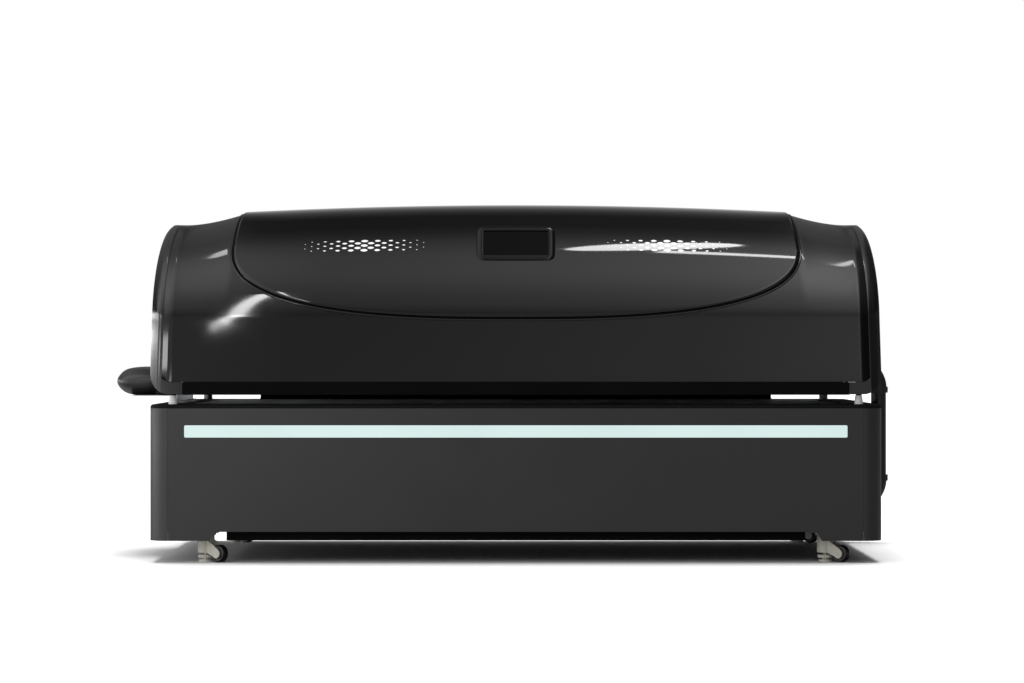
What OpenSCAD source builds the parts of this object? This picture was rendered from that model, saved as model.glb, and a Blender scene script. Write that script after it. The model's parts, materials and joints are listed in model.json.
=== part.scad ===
// Red light therapy bed: a base on levelling casters and a hinged arched canopy
// All sizes are in millimetres, the floor is at z = 0 and the front faces -y

/* [Base] */
// Length of the base over its end panels
base_l = 2200; // [2060:10:2400]
// Depth of the base from front to back
base_w = 1150; // [1110:10:1300]
// Height of the top deck above the floor
base_top = 475; // [450:5:560]
// Height of the panels' lower edge above the floor
rim_z = 66; // [50:1:80]
// Height of the toe cut above the floor
toe_z = 93; // [91:1:110]
// Distance of the toe cut's top from the base's ends
toe_end = 200; // [150:5:350]
// Run of the toe cut's slanted ends
toe_slant = 17; // [5:1:30]
// Radius of the base's upright corners
corner_r = 55; // [40:1:65]
// Thickness of the panel sheets
panel_t = 3; // [2:0.5:4]
// Thickness of the bottom pan
pan_t = 3; // [2:0.5:4]
// Thickness of the top deck
deck_t = 12; // [10:1:16]
// Radius of the deck's upper edge
deck_edge_r = 9; // [4:1:9.5]
// Width of the deck along the front and the back
deck_side_w = 135; // [120:1:140]
// Width of the deck at the two ends
deck_end_w = 125; // [118:1:130]

/* [Light strip] */
// Distance of the light strip from the base's ends
strip_end = 107; // [100:1:300]
// Height of the light strip
strip_h = 36; // [24:1:50]
// Height of the light strip's centre below the deck's top
strip_drop = 81; // [60:1:120]

/* [Frame] */
// Side of the frame's square tubes
tube = 40; // [30:1:44]
// Wall of the frame's square tubes
tube_wall = 2.5; // [2:0.5:4]
// Distance of the welded frame from the base's ends
frame_end = 100; // [98:1:110]
// Distance of the frame's rails behind the panels' faces
frame_inset = 110; // [107:1:112]
// Distance of the middle legs from the centre
mid_leg_x = 330; // [250:5:400]

/* [Lying surface] */
// Thickness of the clear lying sheet
sheet_t = 8; // [6:1:9]
// Depth of the lower lamp tray
tray_depth = 58; // [45:1:80]
// Sheet thickness of the trays
tray_t = 2; // [1.5:0.5:3]
// Thickness of a lamp board
board_t = 1.6; // [1:0.2:2.4]

/* [Canopy] */
// Gap between the deck and the closed canopy
canopy_gap = 30; // [26:1:34]
// Reach of the canopy's lower edge past the base's ends
canopy_over = 4; // [0:1:12]
// Height of the canopy's upright walls
canopy_wall_h = 233; // [200:1:280]
// Rise of the arch above the walls at the middle
arch_rise_mid = 350; // [330:1:380]
// Rise of the arch where the saddles start
arch_rise_shoulder = 328; // [310:1:350]
// Rise of the arch at the end rings
arch_rise_end = 295; // [285:1:305]
// Distance of the saddles' start from the canopy's ends
shoulder_end = 230; // [204:1:244]
// Hollowness of the saddles, from 1 for a straight slope
saddle_power = 1.6; // [1:0.05:2.5]
// Inward lean of each end over the height of the ring
end_lean = 17; // [0:1:30]
// Thickness of the canopy shell
shell_t = 4; // [3:0.5:6]
// Width of each end ring along the canopy
ring_w = 38; // [30:1:50]
// Edge radius of the end rings
ring_edge_r = 20; // [8:1:24]
// Radius of the rings' lower corners seen from the front
ring_corner_r = 65; // [45:1:70]
// Height of the lower trim
trim_h = 37; // [30:1:50]
// Radius of the shell's lower corners
shell_corner_r = 30; // [10:1:40]
// Distance of the tunnel's arch inside the canopy's walls
tunnel_inset = 120; // [119:1:125]
// Thickness of the clear liner
liner_t = 4; // [3:0.5:5]
// Space between the tunnel's arch and the upper reflector
reflector_gap = 25; // [19:1:29]

/* [Bonnet] */
// Distance of the raised bonnet's ends from the saddles' start
bonnet_end = 7; // [4:1:50]
// Height of the bonnet above the shell
bonnet_h = 8; // [5:0.5:10]
// Drop of the bonnet's lower edge at the middle, below the walls' top
bonnet_low = 3; // [0:1:12]
// Height of the bonnet's straight sides' foot above the walls' top
bonnet_side_rise = 219; // [180:1:240]
// Squareness of the bonnet's lower outline
bonnet_power = 2.65; // [2.2:0.05:3.2]
// Distance of each vent group from the centre
vent_x = 465; // [420:1:480]
// Centre of the vents along the arch in degrees
vent_angle = 38; // [36:0.5:42]
// Pitch of the vent holes along a row
vent_pitch = 40.4; // [34:0.2:44]
// Pitch of the vent rows
vent_row_pitch = 11.7; // [9:0.1:13]
// Width of the largest vent hole
vent_hole_w = 23; // [16:0.5:26]
// Height of the largest vent hole
vent_hole_h = 16; // [12:0.5:18]

/* [Display] */
// Width of the display pod
pod_w = 262; // [240:1:300]
// Height of the display pod along its face
pod_h = 124; // [118:1:140]
// Height of the display's face above the bonnet at its centre
pod_d = 8.5; // [7:0.5:16]
// Corner radius of the display pod
pod_r = 20; // [8:1:30]
// Width of the touch screen
screen_w = 198; // [180:1:220]
// Height of the touch screen
screen_h = 101; // [90:1:104]
// Centre of the display along the arch in degrees
pod_angle = 36.5; // [36:0.5:38]
// Upward turn of the display's face in degrees
pod_tilt = 40; // [37:1:44]

/* [Hinge and struts] */
// Distance of the hinge axis in front of the base's back
hinge_inset = 15; // [13:1:18]
// Radius of the hinge knuckles
knuckle_r = 10; // [8:0.5:11]
// Radius of the hinge pins
pin_r = 5; // [4:0.5:6]
// Distance of the outer hinges from the base's ends
hinge_end = 320; // [260:5:400]
// Length of a hinge
hinge_l = 120; // [90:2:160]
// Distance from the hinge axis to each strut pivot
strut_arm = 139; // [130:1:142]
// Angle between the strut pivots about the hinge, canopy closed
strut_open = 110; // [106:1:114]
// Distance of the struts from the canopy's ends
strut_end = 84; // [82:0.5:85]
// Outer radius of a strut's tube
strut_tube_r = 14; // [11:0.5:14]
// Radius of a strut's rod
strut_rod_r = 7; // [5:0.5:8]

/* [Casters] */
// Distance of the casters' swivels from the base's ends
caster_end = 166; // [150:1:200]
// Distance of the casters' swivels from the base's front and back
caster_side = 75; // [65:1:95]
// Radius of a caster wheel
wheel_r = 26; // [20:0.5:27]
// Width of a caster wheel
wheel_w = 24; // [18:1:28]
// Distance of a wheel's axle from its swivel
trail = 54; // [52:0.5:60]
// Turn of the casters at rest in degrees
caster_turn = -37; // [-60:1:60]
// Radius of a levelling pad
pad_r = 21; // [16:0.5:22]

/* [Head end] */
// Reach of the neck bolster past the base
bolster_out = 140; // [100:1:160]
// Length of the bolster across the bed
bolster_l = 540; // [400:5:600]
// Depth of the bolster along the bed
bolster_d = 186; // [150:1:220]
// Thickness of the bolster
bolster_t = 78; // [60:1:90]
// Height of the headrest shelf above the deck
shelf_rise = 20; // [14:1:30]
// Reach of the headrest shelf past the base
shelf_out = 96; // [60:1:110]

/* [Conduit] */
// Radius of the flexible conduit
conduit_r = 25; // [18:0.5:30]
// Distance of the conduit's upright run from the base's end
conduit_out = 103; // [100:1:140]
// Distance of the conduit in front of the base's back
conduit_back = 93; // [91:1:99]

/* [Hidden] */
$fn = 48;
eps = 0.01;
fit = 0.3;
run_fit = 0.05;
cut = 1;

black_gloss = "#1b1b1d";
black_satin = "#2c2c2e";
steel = "#8b8f94";
ivory = "#e4ddca";

// Heights that the base's pieces share
deck_z = base_top - deck_t;
pan_top = toe_z + pan_t;
strip_z = base_top - strip_drop;
half_w = base_w / 2;
toe_l = base_l - 2 * toe_end;
strip_l = base_l - 2 * strip_end;
frame_l = base_l - 2 * frame_end;
frame_w = base_w - 2 * frame_inset;
rail_y = frame_w / 2;
caster_x = base_l / 2 - caster_end;
caster_y = half_w - caster_side;
sheet_l = base_l - 2 * deck_end_w;
sheet_w = base_w - 2 * deck_side_w;
tray_z = deck_z + tray_t - tray_depth;

// Heights that the canopy's pieces share
canopy_z = base_top + canopy_gap;
wall_z = canopy_z + canopy_wall_h;
shell_z = canopy_z + trim_h;
tunnel_r = half_w - tunnel_inset;
reflector_r = tunnel_r + reflector_gap;
canopy_l = base_l + 2 * canopy_over;
end_x = canopy_l / 2;
shoulder_x = end_x - shoulder_end;
bonnet_half_l = shoulder_x - bonnet_end;
strut_x = end_x - strut_end;
hinge_x = base_l / 2 - hinge_end;
end_z = wall_z + arch_rise_end;
ring_x = end_x - ring_w;
tunnel_z = canopy_z - 25;
hinge_y = half_w - hinge_inset;
conduit_x = base_l / 2 + conduit_out;
conduit_y = half_w - conduit_back;
hinge_z = base_top + canopy_gap / 2;

function sq(a) = a * a;
function side_sign(side) = side == "left" ? -1 : 1;

// Rise of the arch at a place along the bed
function rise(x) =
    let (a = abs(x), saddle_end = ring_x - 21, t = (saddle_end - a) / (saddle_end - shoulder_x))
    a <= shoulder_x ? arch_rise_mid - (arch_rise_mid - arch_rise_shoulder) * sq(a / shoulder_x)
    : a >= saddle_end ? arch_rise_end
    : arch_rise_end + (arch_rise_shoulder - arch_rise_end) * pow(t, saddle_power);

// Share of its length that the canopy keeps at a height, because the ends lean in
function leaned(z) = 1 - end_lean / end_x * (z - canopy_z) / (end_z - canopy_z);

// A point of the canopy's arch: x along the bed, inset from the skin, angle round the arch.
// Angles below 0 and above 180 run down the upright walls, by five millimetres a degree.
wall_step = 5;
function arch_y(inset, a) = a < 0 ? inset - half_w : a > 180 ? half_w - inset
    : -(half_w - inset) * cos(a);
function arch_z(x, inset, a) = a < 0 ? wall_z + a * wall_step
    : a > 180 ? wall_z + (180 - a) * wall_step : wall_z + (rise(x) - inset) * sin(a);
function arch_point(x, inset, a) =
    let (z = arch_z(x, inset, a)) [x * leaned(z), arch_y(inset, a), z];
function foot_angle(z) = (z - wall_z) / wall_step;

// Two matched grids of points become one closed skin with a wall between them
module skin(outer, inner) {
    rows = len(outer);
    cols = len(outer[0]);
    n = rows * cols;
    points = concat([for (r = outer) each r], [for (r = inner) each r]);
    function at(i, j) = i * cols + j;
    function two(a, b, c, d) = [[a, b, c], [a, c, d]];
    sides = [for (i = [0:rows - 2], j = [0:cols - 2])
        each concat(two(at(i, j), at(i, j + 1), at(i + 1, j + 1), at(i + 1, j)),
            two(n + at(i, j), n + at(i + 1, j), n + at(i + 1, j + 1), n + at(i, j + 1)))];
    ends = [for (j = [0:cols - 2])
        each concat(two(at(0, j), n + at(0, j), n + at(0, j + 1), at(0, j + 1)),
            two(at(rows - 1, j), at(rows - 1, j + 1), n + at(rows - 1, j + 1), n + at(rows - 1, j)))];
    feet = [for (i = [0:rows - 2])
        each concat(two(at(i, 0), at(i + 1, 0), n + at(i + 1, 0), n + at(i, 0)),
            two(at(i, cols - 1), n + at(i, cols - 1), n + at(i + 1, cols - 1),
                at(i + 1, cols - 1)))];
    polyhedron(points, concat(sides, ends, feet));
}

// A rectangle with round corners
module round_rect(l, w, r) {
    square([l - 2 * r, w], center = true);
    square([l, w - 2 * r], center = true);
    for (x = [-1, 1], y = [-1, 1])
        translate([x * (l / 2 - r), y * (w / 2 - r)]) circle(r);
}

module round_slab(l, w, r, z0, z1) {
    translate([0, 0, z0]) linear_extrude(z1 - z0) round_rect(l, w, r);
}

// A slab whose upper edge is rounded all the way round
module edge_profile(d, t, edge) {
    intersection() {
        union() {
            square([d, t - edge]);
            square([d - edge, t]);
            translate([d - edge, t - edge]) circle(edge);
        }
        square([d, t]);
    }
}

module soft_slab(l, w, r, z0, z1, edge) {
    t = z1 - z0;
    box(-l / 2 + r, l / 2 - r, -w / 2 + r, w / 2 - r, z0, z1);
    for (k = [0:3]) {
        a = (k % 2 == 0 ? l : w) / 2 - r;
        b = (k % 2 == 0 ? w : l) / 2 - r;
        rotate([0, 0, 90 * k]) translate([a, b, z0]) {
            rotate_extrude(angle = 90) edge_profile(r, t, edge);
            rotate([90, 0, 0]) linear_extrude(2 * b) edge_profile(r, t, edge);
        }
    }
}

module box(x0, x1, y0, y1, z0, z1) {
    translate([x0, y0, z0]) cube([x1 - x0, y1 - y0, z1 - z0]);
}

// A square tube along x, y or z, open at its ends
module tube_x(x0, x1, y0, z0) {
    difference() {
        box(x0, x1, y0, y0 + tube, z0, z0 + tube);
        box(x0 - cut, x1 + cut, y0 + tube_wall, y0 + tube - tube_wall, z0 + tube_wall,
            z0 + tube - tube_wall);
    }
}

module tube_y(y0, y1, x0, z0) {
    difference() {
        box(x0, x0 + tube, y0, y1, z0, z0 + tube);
        box(x0 + tube_wall, x0 + tube - tube_wall, y0 - cut, y1 + cut, z0 + tube_wall,
            z0 + tube - tube_wall);
    }
}

module tube_z(z0, z1, x0, y0) {
    difference() {
        box(x0, x0 + tube, y0, y0 + tube, z0, z1);
        box(x0 + tube_wall, x0 + tube - tube_wall, y0 + tube_wall, y0 + tube - tube_wall,
            z0 - cut, z1 + cut);
    }
}

// Square tubes in two ladders, with caster plates and hinge outriggers. Each tube is its
// own solid, with a weld's gap to the next.
weld = 0.05;
plate_side = 80;
plate_t = 5;
spigot_r = 14;
spigot_h = 14;
plate_z = toe_z - plate_t;
outrigger_y = half_w - panel_t - 20;

module base_frame() color(steel) {
    low = pan_top;
    high = deck_z - tube;
    leg_x = frame_l / 2 - tube;
    for (y0 = [-rail_y, rail_y - tube]) {
        for (z0 = [low, high]) tube_x(-frame_l / 2, frame_l / 2, y0, z0);
        for (x0 = [-leg_x - tube, -mid_leg_x - tube / 2, mid_leg_x - tube / 2, leg_x])
            tube_z(low + tube + weld, high - weld, x0, y0);
    }
    cross_y = rail_y - tube - weld;
    for (x0 = [-leg_x - tube, leg_x]) tube_y(-cross_y, cross_y, x0, high);
    for (x0 = [-caster_x - tube / 2, caster_x - tube / 2]) {
        tube_y(-cross_y, cross_y, x0, low);
        tube_y(rail_y + weld, outrigger_y, x0, low);
        tube_y(-outrigger_y, -rail_y - weld, x0, low);
    }
    for (x = [-hinge_x, 0, hinge_x]) tube_y(rail_y + weld, outrigger_y, x - tube / 2, high);
    for (x = [-hinge_x, hinge_x]) tube_y(-outrigger_y, -rail_y - weld, x - tube / 2, high);
    for (x = [-caster_x, caster_x], y = [-caster_y, caster_y]) translate([x, y, plate_z]) {
        translate([-plate_side / 2, -plate_side / 2, 0])
            cube([plate_side, plate_side, pan_top - weld - plate_z]);
        translate([0, 0, -spigot_h]) cylinder(h = spigot_h, r = spigot_r);
    }
}

// The front and back sheets end at seams where the rounded end panels begin
seam_x = base_l / 2 - corner_r - 3;

module toe_cut(y0, y1) {
    half = toe_l / 2;
    translate([0, y1, 0]) rotate([90, 0, 0]) linear_extrude(y1 - y0)
        polygon([[-half - toe_slant, rim_z - cut], [half + toe_slant, rim_z - cut],
            [half + toe_slant, rim_z], [half, toe_z], [-half, toe_z], [-half - toe_slant, rim_z]]);
}

module long_panel(side) {
    y0 = side < 0 ? -half_w : half_w - panel_t;
    difference() {
        box(-seam_x + fit / 2, seam_x - fit / 2, y0, y0 + panel_t, rim_z, deck_z);
        toe_cut(y0 - cut, y0 + panel_t + cut);
    }
}

module end_panel(side) {
    difference() {
        round_slab(base_l, base_w, corner_r, rim_z, deck_z);
        round_slab(base_l - 2 * panel_t, base_w - 2 * panel_t, corner_r - panel_t, rim_z - cut,
            deck_z + cut);
        box(side < 0 ? -seam_x - fit / 2 : -base_l, side < 0 ? base_l : seam_x + fit / 2,
            -base_w, base_w, rim_z - cut, deck_z + cut);
        if (side > 0) translate([base_l / 2 - panel_t - cut, conduit_y, conduit_low])
            rotate([0, 90, 0]) cylinder(h = panel_t + 2 * cut, r = elbow_bore);
    }
}

module strip_bar(l, h, y0, y1) {
    translate([0, y1, strip_z]) rotate([90, 0, 0]) linear_extrude(y1 - y0)
        round_rect(l, h, 4);
}

module front_panel() color(black_satin) {
    difference() {
        long_panel(-1);
        strip_bar(strip_l + 2 * fit, strip_h + 2 * fit, -half_w - cut, -half_w + panel_t + cut);
    }
}

// Cooling louvres, a fan behind each group, and the mains plate at the back
fan_x = 450;
fan_z = 270;
fan_side = 120;
fan_d = 25;
fan_bore_r = 56;
louvre_l = 150;
louvre_h = 5;
louvre_pitch = 13;
louvre_rows = 9;
inlet_end = 340;
inlet_x = inlet_end - base_l / 2;
inlet_z = 200;
inlet_w = 32;
inlet_h = 26;
rocker_x = inlet_x + 56;
rocker_w = 16;
rocker_h = 26;
back_y = half_w - panel_t;

module rear_panel() color(black_satin) {
    difference() {
        long_panel(1);
        for (x = [-fan_x, fan_x], i = [0:louvre_rows - 1])
            translate([x, back_y + panel_t + cut,
                fan_z + (i - (louvre_rows - 1) / 2) * louvre_pitch])
                rotate([90, 0, 0]) linear_extrude(panel_t + 2 * cut)
                    round_rect(louvre_l, louvre_h, louvre_h / 2 - 0.1);
        box(inlet_x - inlet_w / 2 - fit, inlet_x + inlet_w / 2 + fit, back_y - cut, half_w + cut,
            inlet_z - inlet_h / 2 - fit, inlet_z + inlet_h / 2 + fit);
        box(rocker_x - rocker_w / 2 - 3, rocker_x + rocker_w / 2 + 3, back_y - cut, half_w + cut,
            inlet_z - rocker_h / 2 - 3, inlet_z + rocker_h / 2 + 3);
    }
}

module end_panels() color(black_satin) {
    end_panel(-1);
    end_panel(1);
}

module bottom_pan() color(steel) {
    inner = panel_t + fit;
    difference() {
        round_slab(base_l - 2 * inner, base_w - 2 * inner, corner_r - inner, toe_z, pan_top);
        for (x = [-caster_x, caster_x], y = [-caster_y, caster_y])
            translate([x, y, toe_z])
                cube([plate_side + 2 * fit, plate_side + 2 * fit, 4 * pan_t], center = true);
    }
}

// Slots in the deck and the rear trim through which the struts pass and swing
slot_half = strut_tube_r + 4;
slot_y0 = hinge_y - strut_arm * cos(strut_open / 2) - strut_tube_r - 4;
slot_y1 = half_w - 17;
module strut_slots(z0, z1) {
    for (side = [-1, 1])
        box(side * strut_x - slot_half, side * strut_x + slot_half, slot_y0, slot_y1, z0, z1);
}

module top_deck() color(black_gloss) {
    difference() {
        soft_slab(base_l, base_w, corner_r, deck_z, base_top, min(deck_edge_r, deck_t - 1));
        round_slab(sheet_l + 2 * fit, sheet_w + 2 * fit, 20 + fit, deck_z - cut, base_top + cut);
        strut_slots(deck_z - cut, base_top + cut);
    }
}

strip_depth = 9;
module light_strip() color("#dff3f1") {
    strip_bar(strip_l, strip_h, -half_w + 0.6, -half_w + strip_depth);
    strip_bar(strip_l + 12, strip_h + 12, -half_w + panel_t + fit, -half_w + panel_t + 3);
}

module strip_led_board() color("white") {
    y0 = -half_w + strip_depth + fit;
    box(-strip_l / 2 + 10, strip_l / 2 - 10, y0, y0 + board_t, strip_z - 7, strip_z + 7);
    for (i = [-15:15]) translate([i * (strip_l - 60) / 30, y0 + board_t, strip_z])
        rotate([-90, 0, 0]) cylinder(h = 2, r = 3);
}

module lying_sheet() color("#dfe8ea", 0.35)
    round_slab(sheet_l, sheet_w, 20, base_top - sheet_t, base_top);

// A folded tray under the sheet, its flange on the rails and level with the sheet's seat
flange_in = 24;
module lower_reflector() color("silver") {
    rim = base_top - sheet_t - fit;
    inner_l = frame_l - 2 * tube - 2 * fit;
    inner_w = frame_w - 2 * tube - 2 * fit;
    difference() {
        box(-inner_l / 2, inner_l / 2, -inner_w / 2, inner_w / 2, tray_z, rim);
        box(-inner_l / 2 + tray_t, inner_l / 2 - tray_t, -inner_w / 2 + tray_t,
            inner_w / 2 - tray_t, tray_z + tray_t, rim + cut);
    }
    difference() {
        round_slab(sheet_l - 2, sheet_w - 2, 19, deck_z + fit, rim);
        box(-inner_l / 2 + tray_t, inner_l / 2 - tray_t, -inner_w / 2 + tray_t,
            inner_w / 2 - tray_t, deck_z - cut, rim + cut);
    }
}

lower_rows = 3;
lower_cols = 5;
module lower_led_boards() color("#20452f") {
    pitch_x = (frame_l - 2 * tube - 20) / lower_cols;
    pitch_y = (frame_w - 2 * tube - 20) / lower_rows;
    for (i = [0:lower_cols - 1], j = [0:lower_rows - 1])
        translate([(i - (lower_cols - 1) / 2) * pitch_x, (j - (lower_rows - 1) / 2) * pitch_y,
            tray_z + tray_t + fit])
            linear_extrude(board_t) square([pitch_x - 10, pitch_y - 10], center = true);
}

// Enclosed supplies with a terminal step, bolted to the pan
supply_l = 215;
supply_w = 115;
supply_h = 50;
supply_step = 19;
supply_pitch = supply_l + 65;
supply_y = -frame_w / 5;
module power_supplies() color(steel) {
    for (side = [-1, 1], k = [0, 1])
    translate([side * (2 * supply_l + k * supply_pitch), supply_y, pan_top]) {
        translate([-supply_l / 2, -supply_w / 2, 0])
            cube([supply_l - supply_step + eps, supply_w, supply_h]);
        translate([supply_l / 2 - supply_step, -supply_w / 2, 0])
            cube([supply_step, supply_w, supply_h * 0.45]);
        for (i = [-4:4]) translate([-supply_l / 2 + 80 + i * 14, 0, supply_h])
            linear_extrude(4) square([3, supply_w - 16], center = true);
    }
}

control_l = 300;
control_w = 200;
control_h = 70;
control_ear = 60;
module control_box() color(black_satin) {
    translate([0, 0, pan_top]) {
        linear_extrude(control_h) round_rect(control_l, control_w, 8);
        for (s = [-1, 1]) translate([s * (control_l + control_ear) / 2 - s * 15, 0, 0])
            linear_extrude(3) round_rect(control_ear, control_ear, 8);
        for (k = [-2:2]) translate([k * control_l * 0.15, control_w / 2, control_h / 2])
            rotate([-90, 0, 0]) cylinder(h = 14, r = 9);
    }
}

// Axial fans whose rotors turn on fixed shafts
shaft_r = 3;
fan_y = back_y - fit - fan_d;
module fan_frames() color("#18181a") {
    for (x = [-fan_x, fan_x]) translate([x, fan_y, fan_z]) rotate([-90, 0, 0]) {
        difference() {
            linear_extrude(fan_d) round_rect(fan_side, fan_side, 6);
            translate([0, 0, -cut]) cylinder(h = fan_d + 2 * cut, r = fan_bore_r);
        }
        cylinder(h = 3, r = 20);
        for (a = [0, 120, 240]) rotate([0, 0, a]) translate([0, -2.5, 0])
            cube([fan_bore_r + 2, 5, 3]);
        cylinder(h = fan_d - 4, r = shaft_r);
    }
}

module fan_rotor(x) color("#2b2b2e")
    translate([x, fan_y, fan_z]) rotate([-90, 0, 0]) translate([0, 0, 4])
        difference() {
            union() {
                cylinder(h = fan_d - 7, r = 19);
                for (a = [0:40:320]) rotate([0, 0, a]) translate([17, 0, (fan_d - 7) / 2])
                    rotate([52, 0, 0]) translate([0, -9, -1])
                        cube([fan_bore_r - 3 - 17, 18, 2]);
            }
            translate([0, 0, -cut]) cylinder(h = fan_d, r = shaft_r + run_fit);
        }
module fan_rotor_left() fan_rotor(-fan_x);
module fan_rotor_right() fan_rotor(fan_x);

// Appliance inlet with three blades, and the rocker's bezel beside it
module mains_inlet() color("#161617") {
    x0 = inlet_x - inlet_w / 2;
    difference() {
        union() {
            box(x0, x0 + inlet_w, back_y - 22, half_w, inlet_z - inlet_h / 2,
                inlet_z + inlet_h / 2);
            box(x0 - 10, x0 + inlet_w + 10, half_w, half_w + 2.5, inlet_z - inlet_h / 2 - 4,
                inlet_z + inlet_h / 2 + 4);
        }
        box(x0 + 3, x0 + inlet_w - 3, back_y - 14, half_w + 3, inlet_z - inlet_h / 2 + 3,
            inlet_z + inlet_h / 2 - 3);
    }
    for (dx = [-8, 0, 8]) box(inlet_x + dx - 1, inlet_x + dx + 1, back_y - 15, half_w - 2,
        inlet_z - 3, inlet_z + 3);
    difference() {
        box(rocker_x - rocker_w / 2 - 2.6, rocker_x + rocker_w / 2 + 2.6, back_y - 18,
            half_w + 2.5, inlet_z - rocker_h / 2 - 2.6, inlet_z + rocker_h / 2 + 2.6);
        box(rocker_x - rocker_w / 2 - 0.4, rocker_x + rocker_w / 2 + 0.4, back_y - 15,
            half_w + 3, inlet_z - rocker_h / 2 - 0.6, inlet_z + rocker_h / 2 + 0.6);
    }
    translate([rocker_x, rocker_pin_y, inlet_z]) rotate([0, 90, 0])
        cylinder(h = rocker_w + 2, r = 1.5, center = true);
}

rocker_pin_y = half_w - 4;
rocker_tilt = 10;
module power_rocker() color("#0c0c0c")
    translate([rocker_x - rocker_w / 2, rocker_pin_y, inlet_z]) rotate([90, 0, 90])
        rotate([0, 0, -rocker_tilt])
        difference() {
            linear_extrude(rocker_w)
                polygon([[-7, -5], [-7, 5], [0.5, rocker_h / 2 - 1.5], [5.5, rocker_h / 2 - 1.5],
                    [4, 0], [5.5, -rocker_h / 2 + 1.5], [0.5, -rocker_h / 2 + 1.5]]);
            translate([0, 0, -cut]) cylinder(h = rocker_w + 2 * cut, r = 1.5 + run_fit);
        }

// Butt hinges along the back: outer knuckles on the deck, the middle one on the canopy
leaf_t = 4;
leaf_front = 28;
leaf_back = 10;
knuckle_l = hinge_l / 3;

module knuckle(x0, x1, up) {
    difference() {
        union() {
            translate([x0, hinge_y, hinge_z]) rotate([0, 90, 0])
                cylinder(h = x1 - x0, r = knuckle_r);
            box(x0, x1, hinge_y - 6, hinge_y + 6, up ? hinge_z : base_top + leaf_t - eps,
                up ? canopy_z - leaf_t + eps : hinge_z);
        }
        translate([x0 - cut, hinge_y, hinge_z]) rotate([0, 90, 0])
            cylinder(h = x1 - x0 + 2 * cut, r = pin_r + run_fit);
    }
}

module base_hinge_leaves() color(steel) {
    for (x = [-hinge_x, 0, hinge_x]) {
        box(x - hinge_l / 2, x + hinge_l / 2, hinge_y - leaf_front, hinge_y + leaf_back, base_top,
            base_top + leaf_t);
        knuckle(x - hinge_l / 2, x - knuckle_l / 2, false);
        knuckle(x + knuckle_l / 2, x + hinge_l / 2, false);
    }
}

module hinge_pins() color("silver") {
    for (x = [-hinge_x, 0, hinge_x]) translate([x, hinge_y, hinge_z]) rotate([0, 90, 0]) {
        cylinder(h = hinge_l, r = pin_r, center = true);
        for (s = [-1, 1]) translate([0, 0, s * (hinge_l / 2 + 1)])
            cylinder(h = 2, r = pin_r + 1.5, center = true);
    }
}

module canopy_hinge_leaves() color(steel) {
    for (x = [-hinge_x, 0, hinge_x]) {
        box(x - hinge_l / 2, x + hinge_l / 2, hinge_y - leaf_front, hinge_y + leaf_back,
            canopy_z - leaf_t, canopy_z);
        knuckle(x - knuckle_l / 2 + fit, x + knuckle_l / 2 - fit, true);
    }
}

// The strut's two pivots lie at equal distances from the hinge
foot_y = hinge_y - strut_arm * cos(strut_open / 2);
foot_z = hinge_z - strut_arm * sin(strut_open / 2);
head_z = hinge_z + strut_arm * sin(strut_open / 2);
strut_pin_r = 5;
eye_r = 11;
eye_t = 18;
bracket_t = 5;
bracket_foot = 45;
bracket_ear = 34;
strut_play = 11;

module strut_base_brackets() color(steel) {
    for (side = [-1, 1]) mirror([side < 0 ? 1 : 0, 0, 0]) {
        x0 = frame_l / 2;
        difference() {
            box(x0, x0 + bracket_t, rail_y - tube, foot_y + 16, foot_z - bracket_foot,
                foot_z + 16);
            translate([x0 - cut, foot_y + 16, foot_z - bracket_foot]) rotate([0, 90, 0])
                cylinder(h = bracket_t + 2 * cut, r = 18);
        }
        translate([x0 + bracket_t - eps, foot_y, foot_z]) rotate([0, 90, 0])
            cylinder(h = strut_x + eye_t / 2 + 2 - x0 - bracket_t, r = strut_pin_r);
        translate([strut_x + eye_t / 2 + 1, foot_y, foot_z]) rotate([0, 90, 0])
            cylinder(h = 3, r = strut_pin_r + 3);
    }
}

module strut_canopy_brackets() color(steel) {
    x0 = rib_x + rib_t + 0.1;
    for (side = [-1, 1]) mirror([side < 0 ? 1 : 0, 0, 0])
        difference() {
            box(x0, x0 + bracket_t, foot_y - strut_play - strut_pin_r - 6, half_w - 20,
                head_z - bracket_ear, head_z + bracket_ear);
            translate([x0 - cut, foot_y, head_z]) rotate([0, 90, 0])
                cylinder(h = bracket_t + 2 * cut, r = strut_pin_r + strut_play);
        }
}

tube_len = 138;
piston_z = 40;
module strut_tube(side) color("#1d1d1f")
    translate([side * strut_x, foot_y, foot_z]) {
        difference() {
            union() {
                rotate([0, 90, 0]) cylinder(h = eye_t, r = eye_r, center = true);
                translate([0, 0, 8]) cylinder(h = 12, r = 8);
                translate([0, 0, 18]) cylinder(h = tube_len, r = strut_tube_r);
            }
            rotate([0, 90, 0])
                cylinder(h = eye_t + 2 * cut, r = strut_pin_r + run_fit, center = true);
            translate([0, 0, 24]) cylinder(h = tube_len - 18, r = strut_tube_r - 2);
            translate([0, 0, 24]) cylinder(h = tube_len, r = strut_rod_r + run_fit);
        }
    }

module strut_rod(side) color("#c9ccd0") {
    head = head_z - foot_z;
    translate([side * strut_x, foot_y, foot_z]) {
        translate([0, 0, piston_z]) cylinder(h = 12, r = strut_tube_r - 2 - run_fit);
        translate([0, 0, piston_z]) cylinder(h = head - piston_z - 6, r = strut_rod_r);
        translate([0, 0, head]) rotate([0, 90, 0]) cylinder(h = eye_t, r = eye_r, center = true);
        translate([0, 0, head]) rotate([0, -side * 90, 0])
            cylinder(h = strut_x - rib_x - rib_t - 0.5, r = strut_pin_r);
    }
}
module strut_tube_left() strut_tube(-1);
module strut_tube_right() strut_tube(1);
module strut_rod_left() strut_rod(-1);
module strut_rod_right() strut_rod(1);

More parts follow.
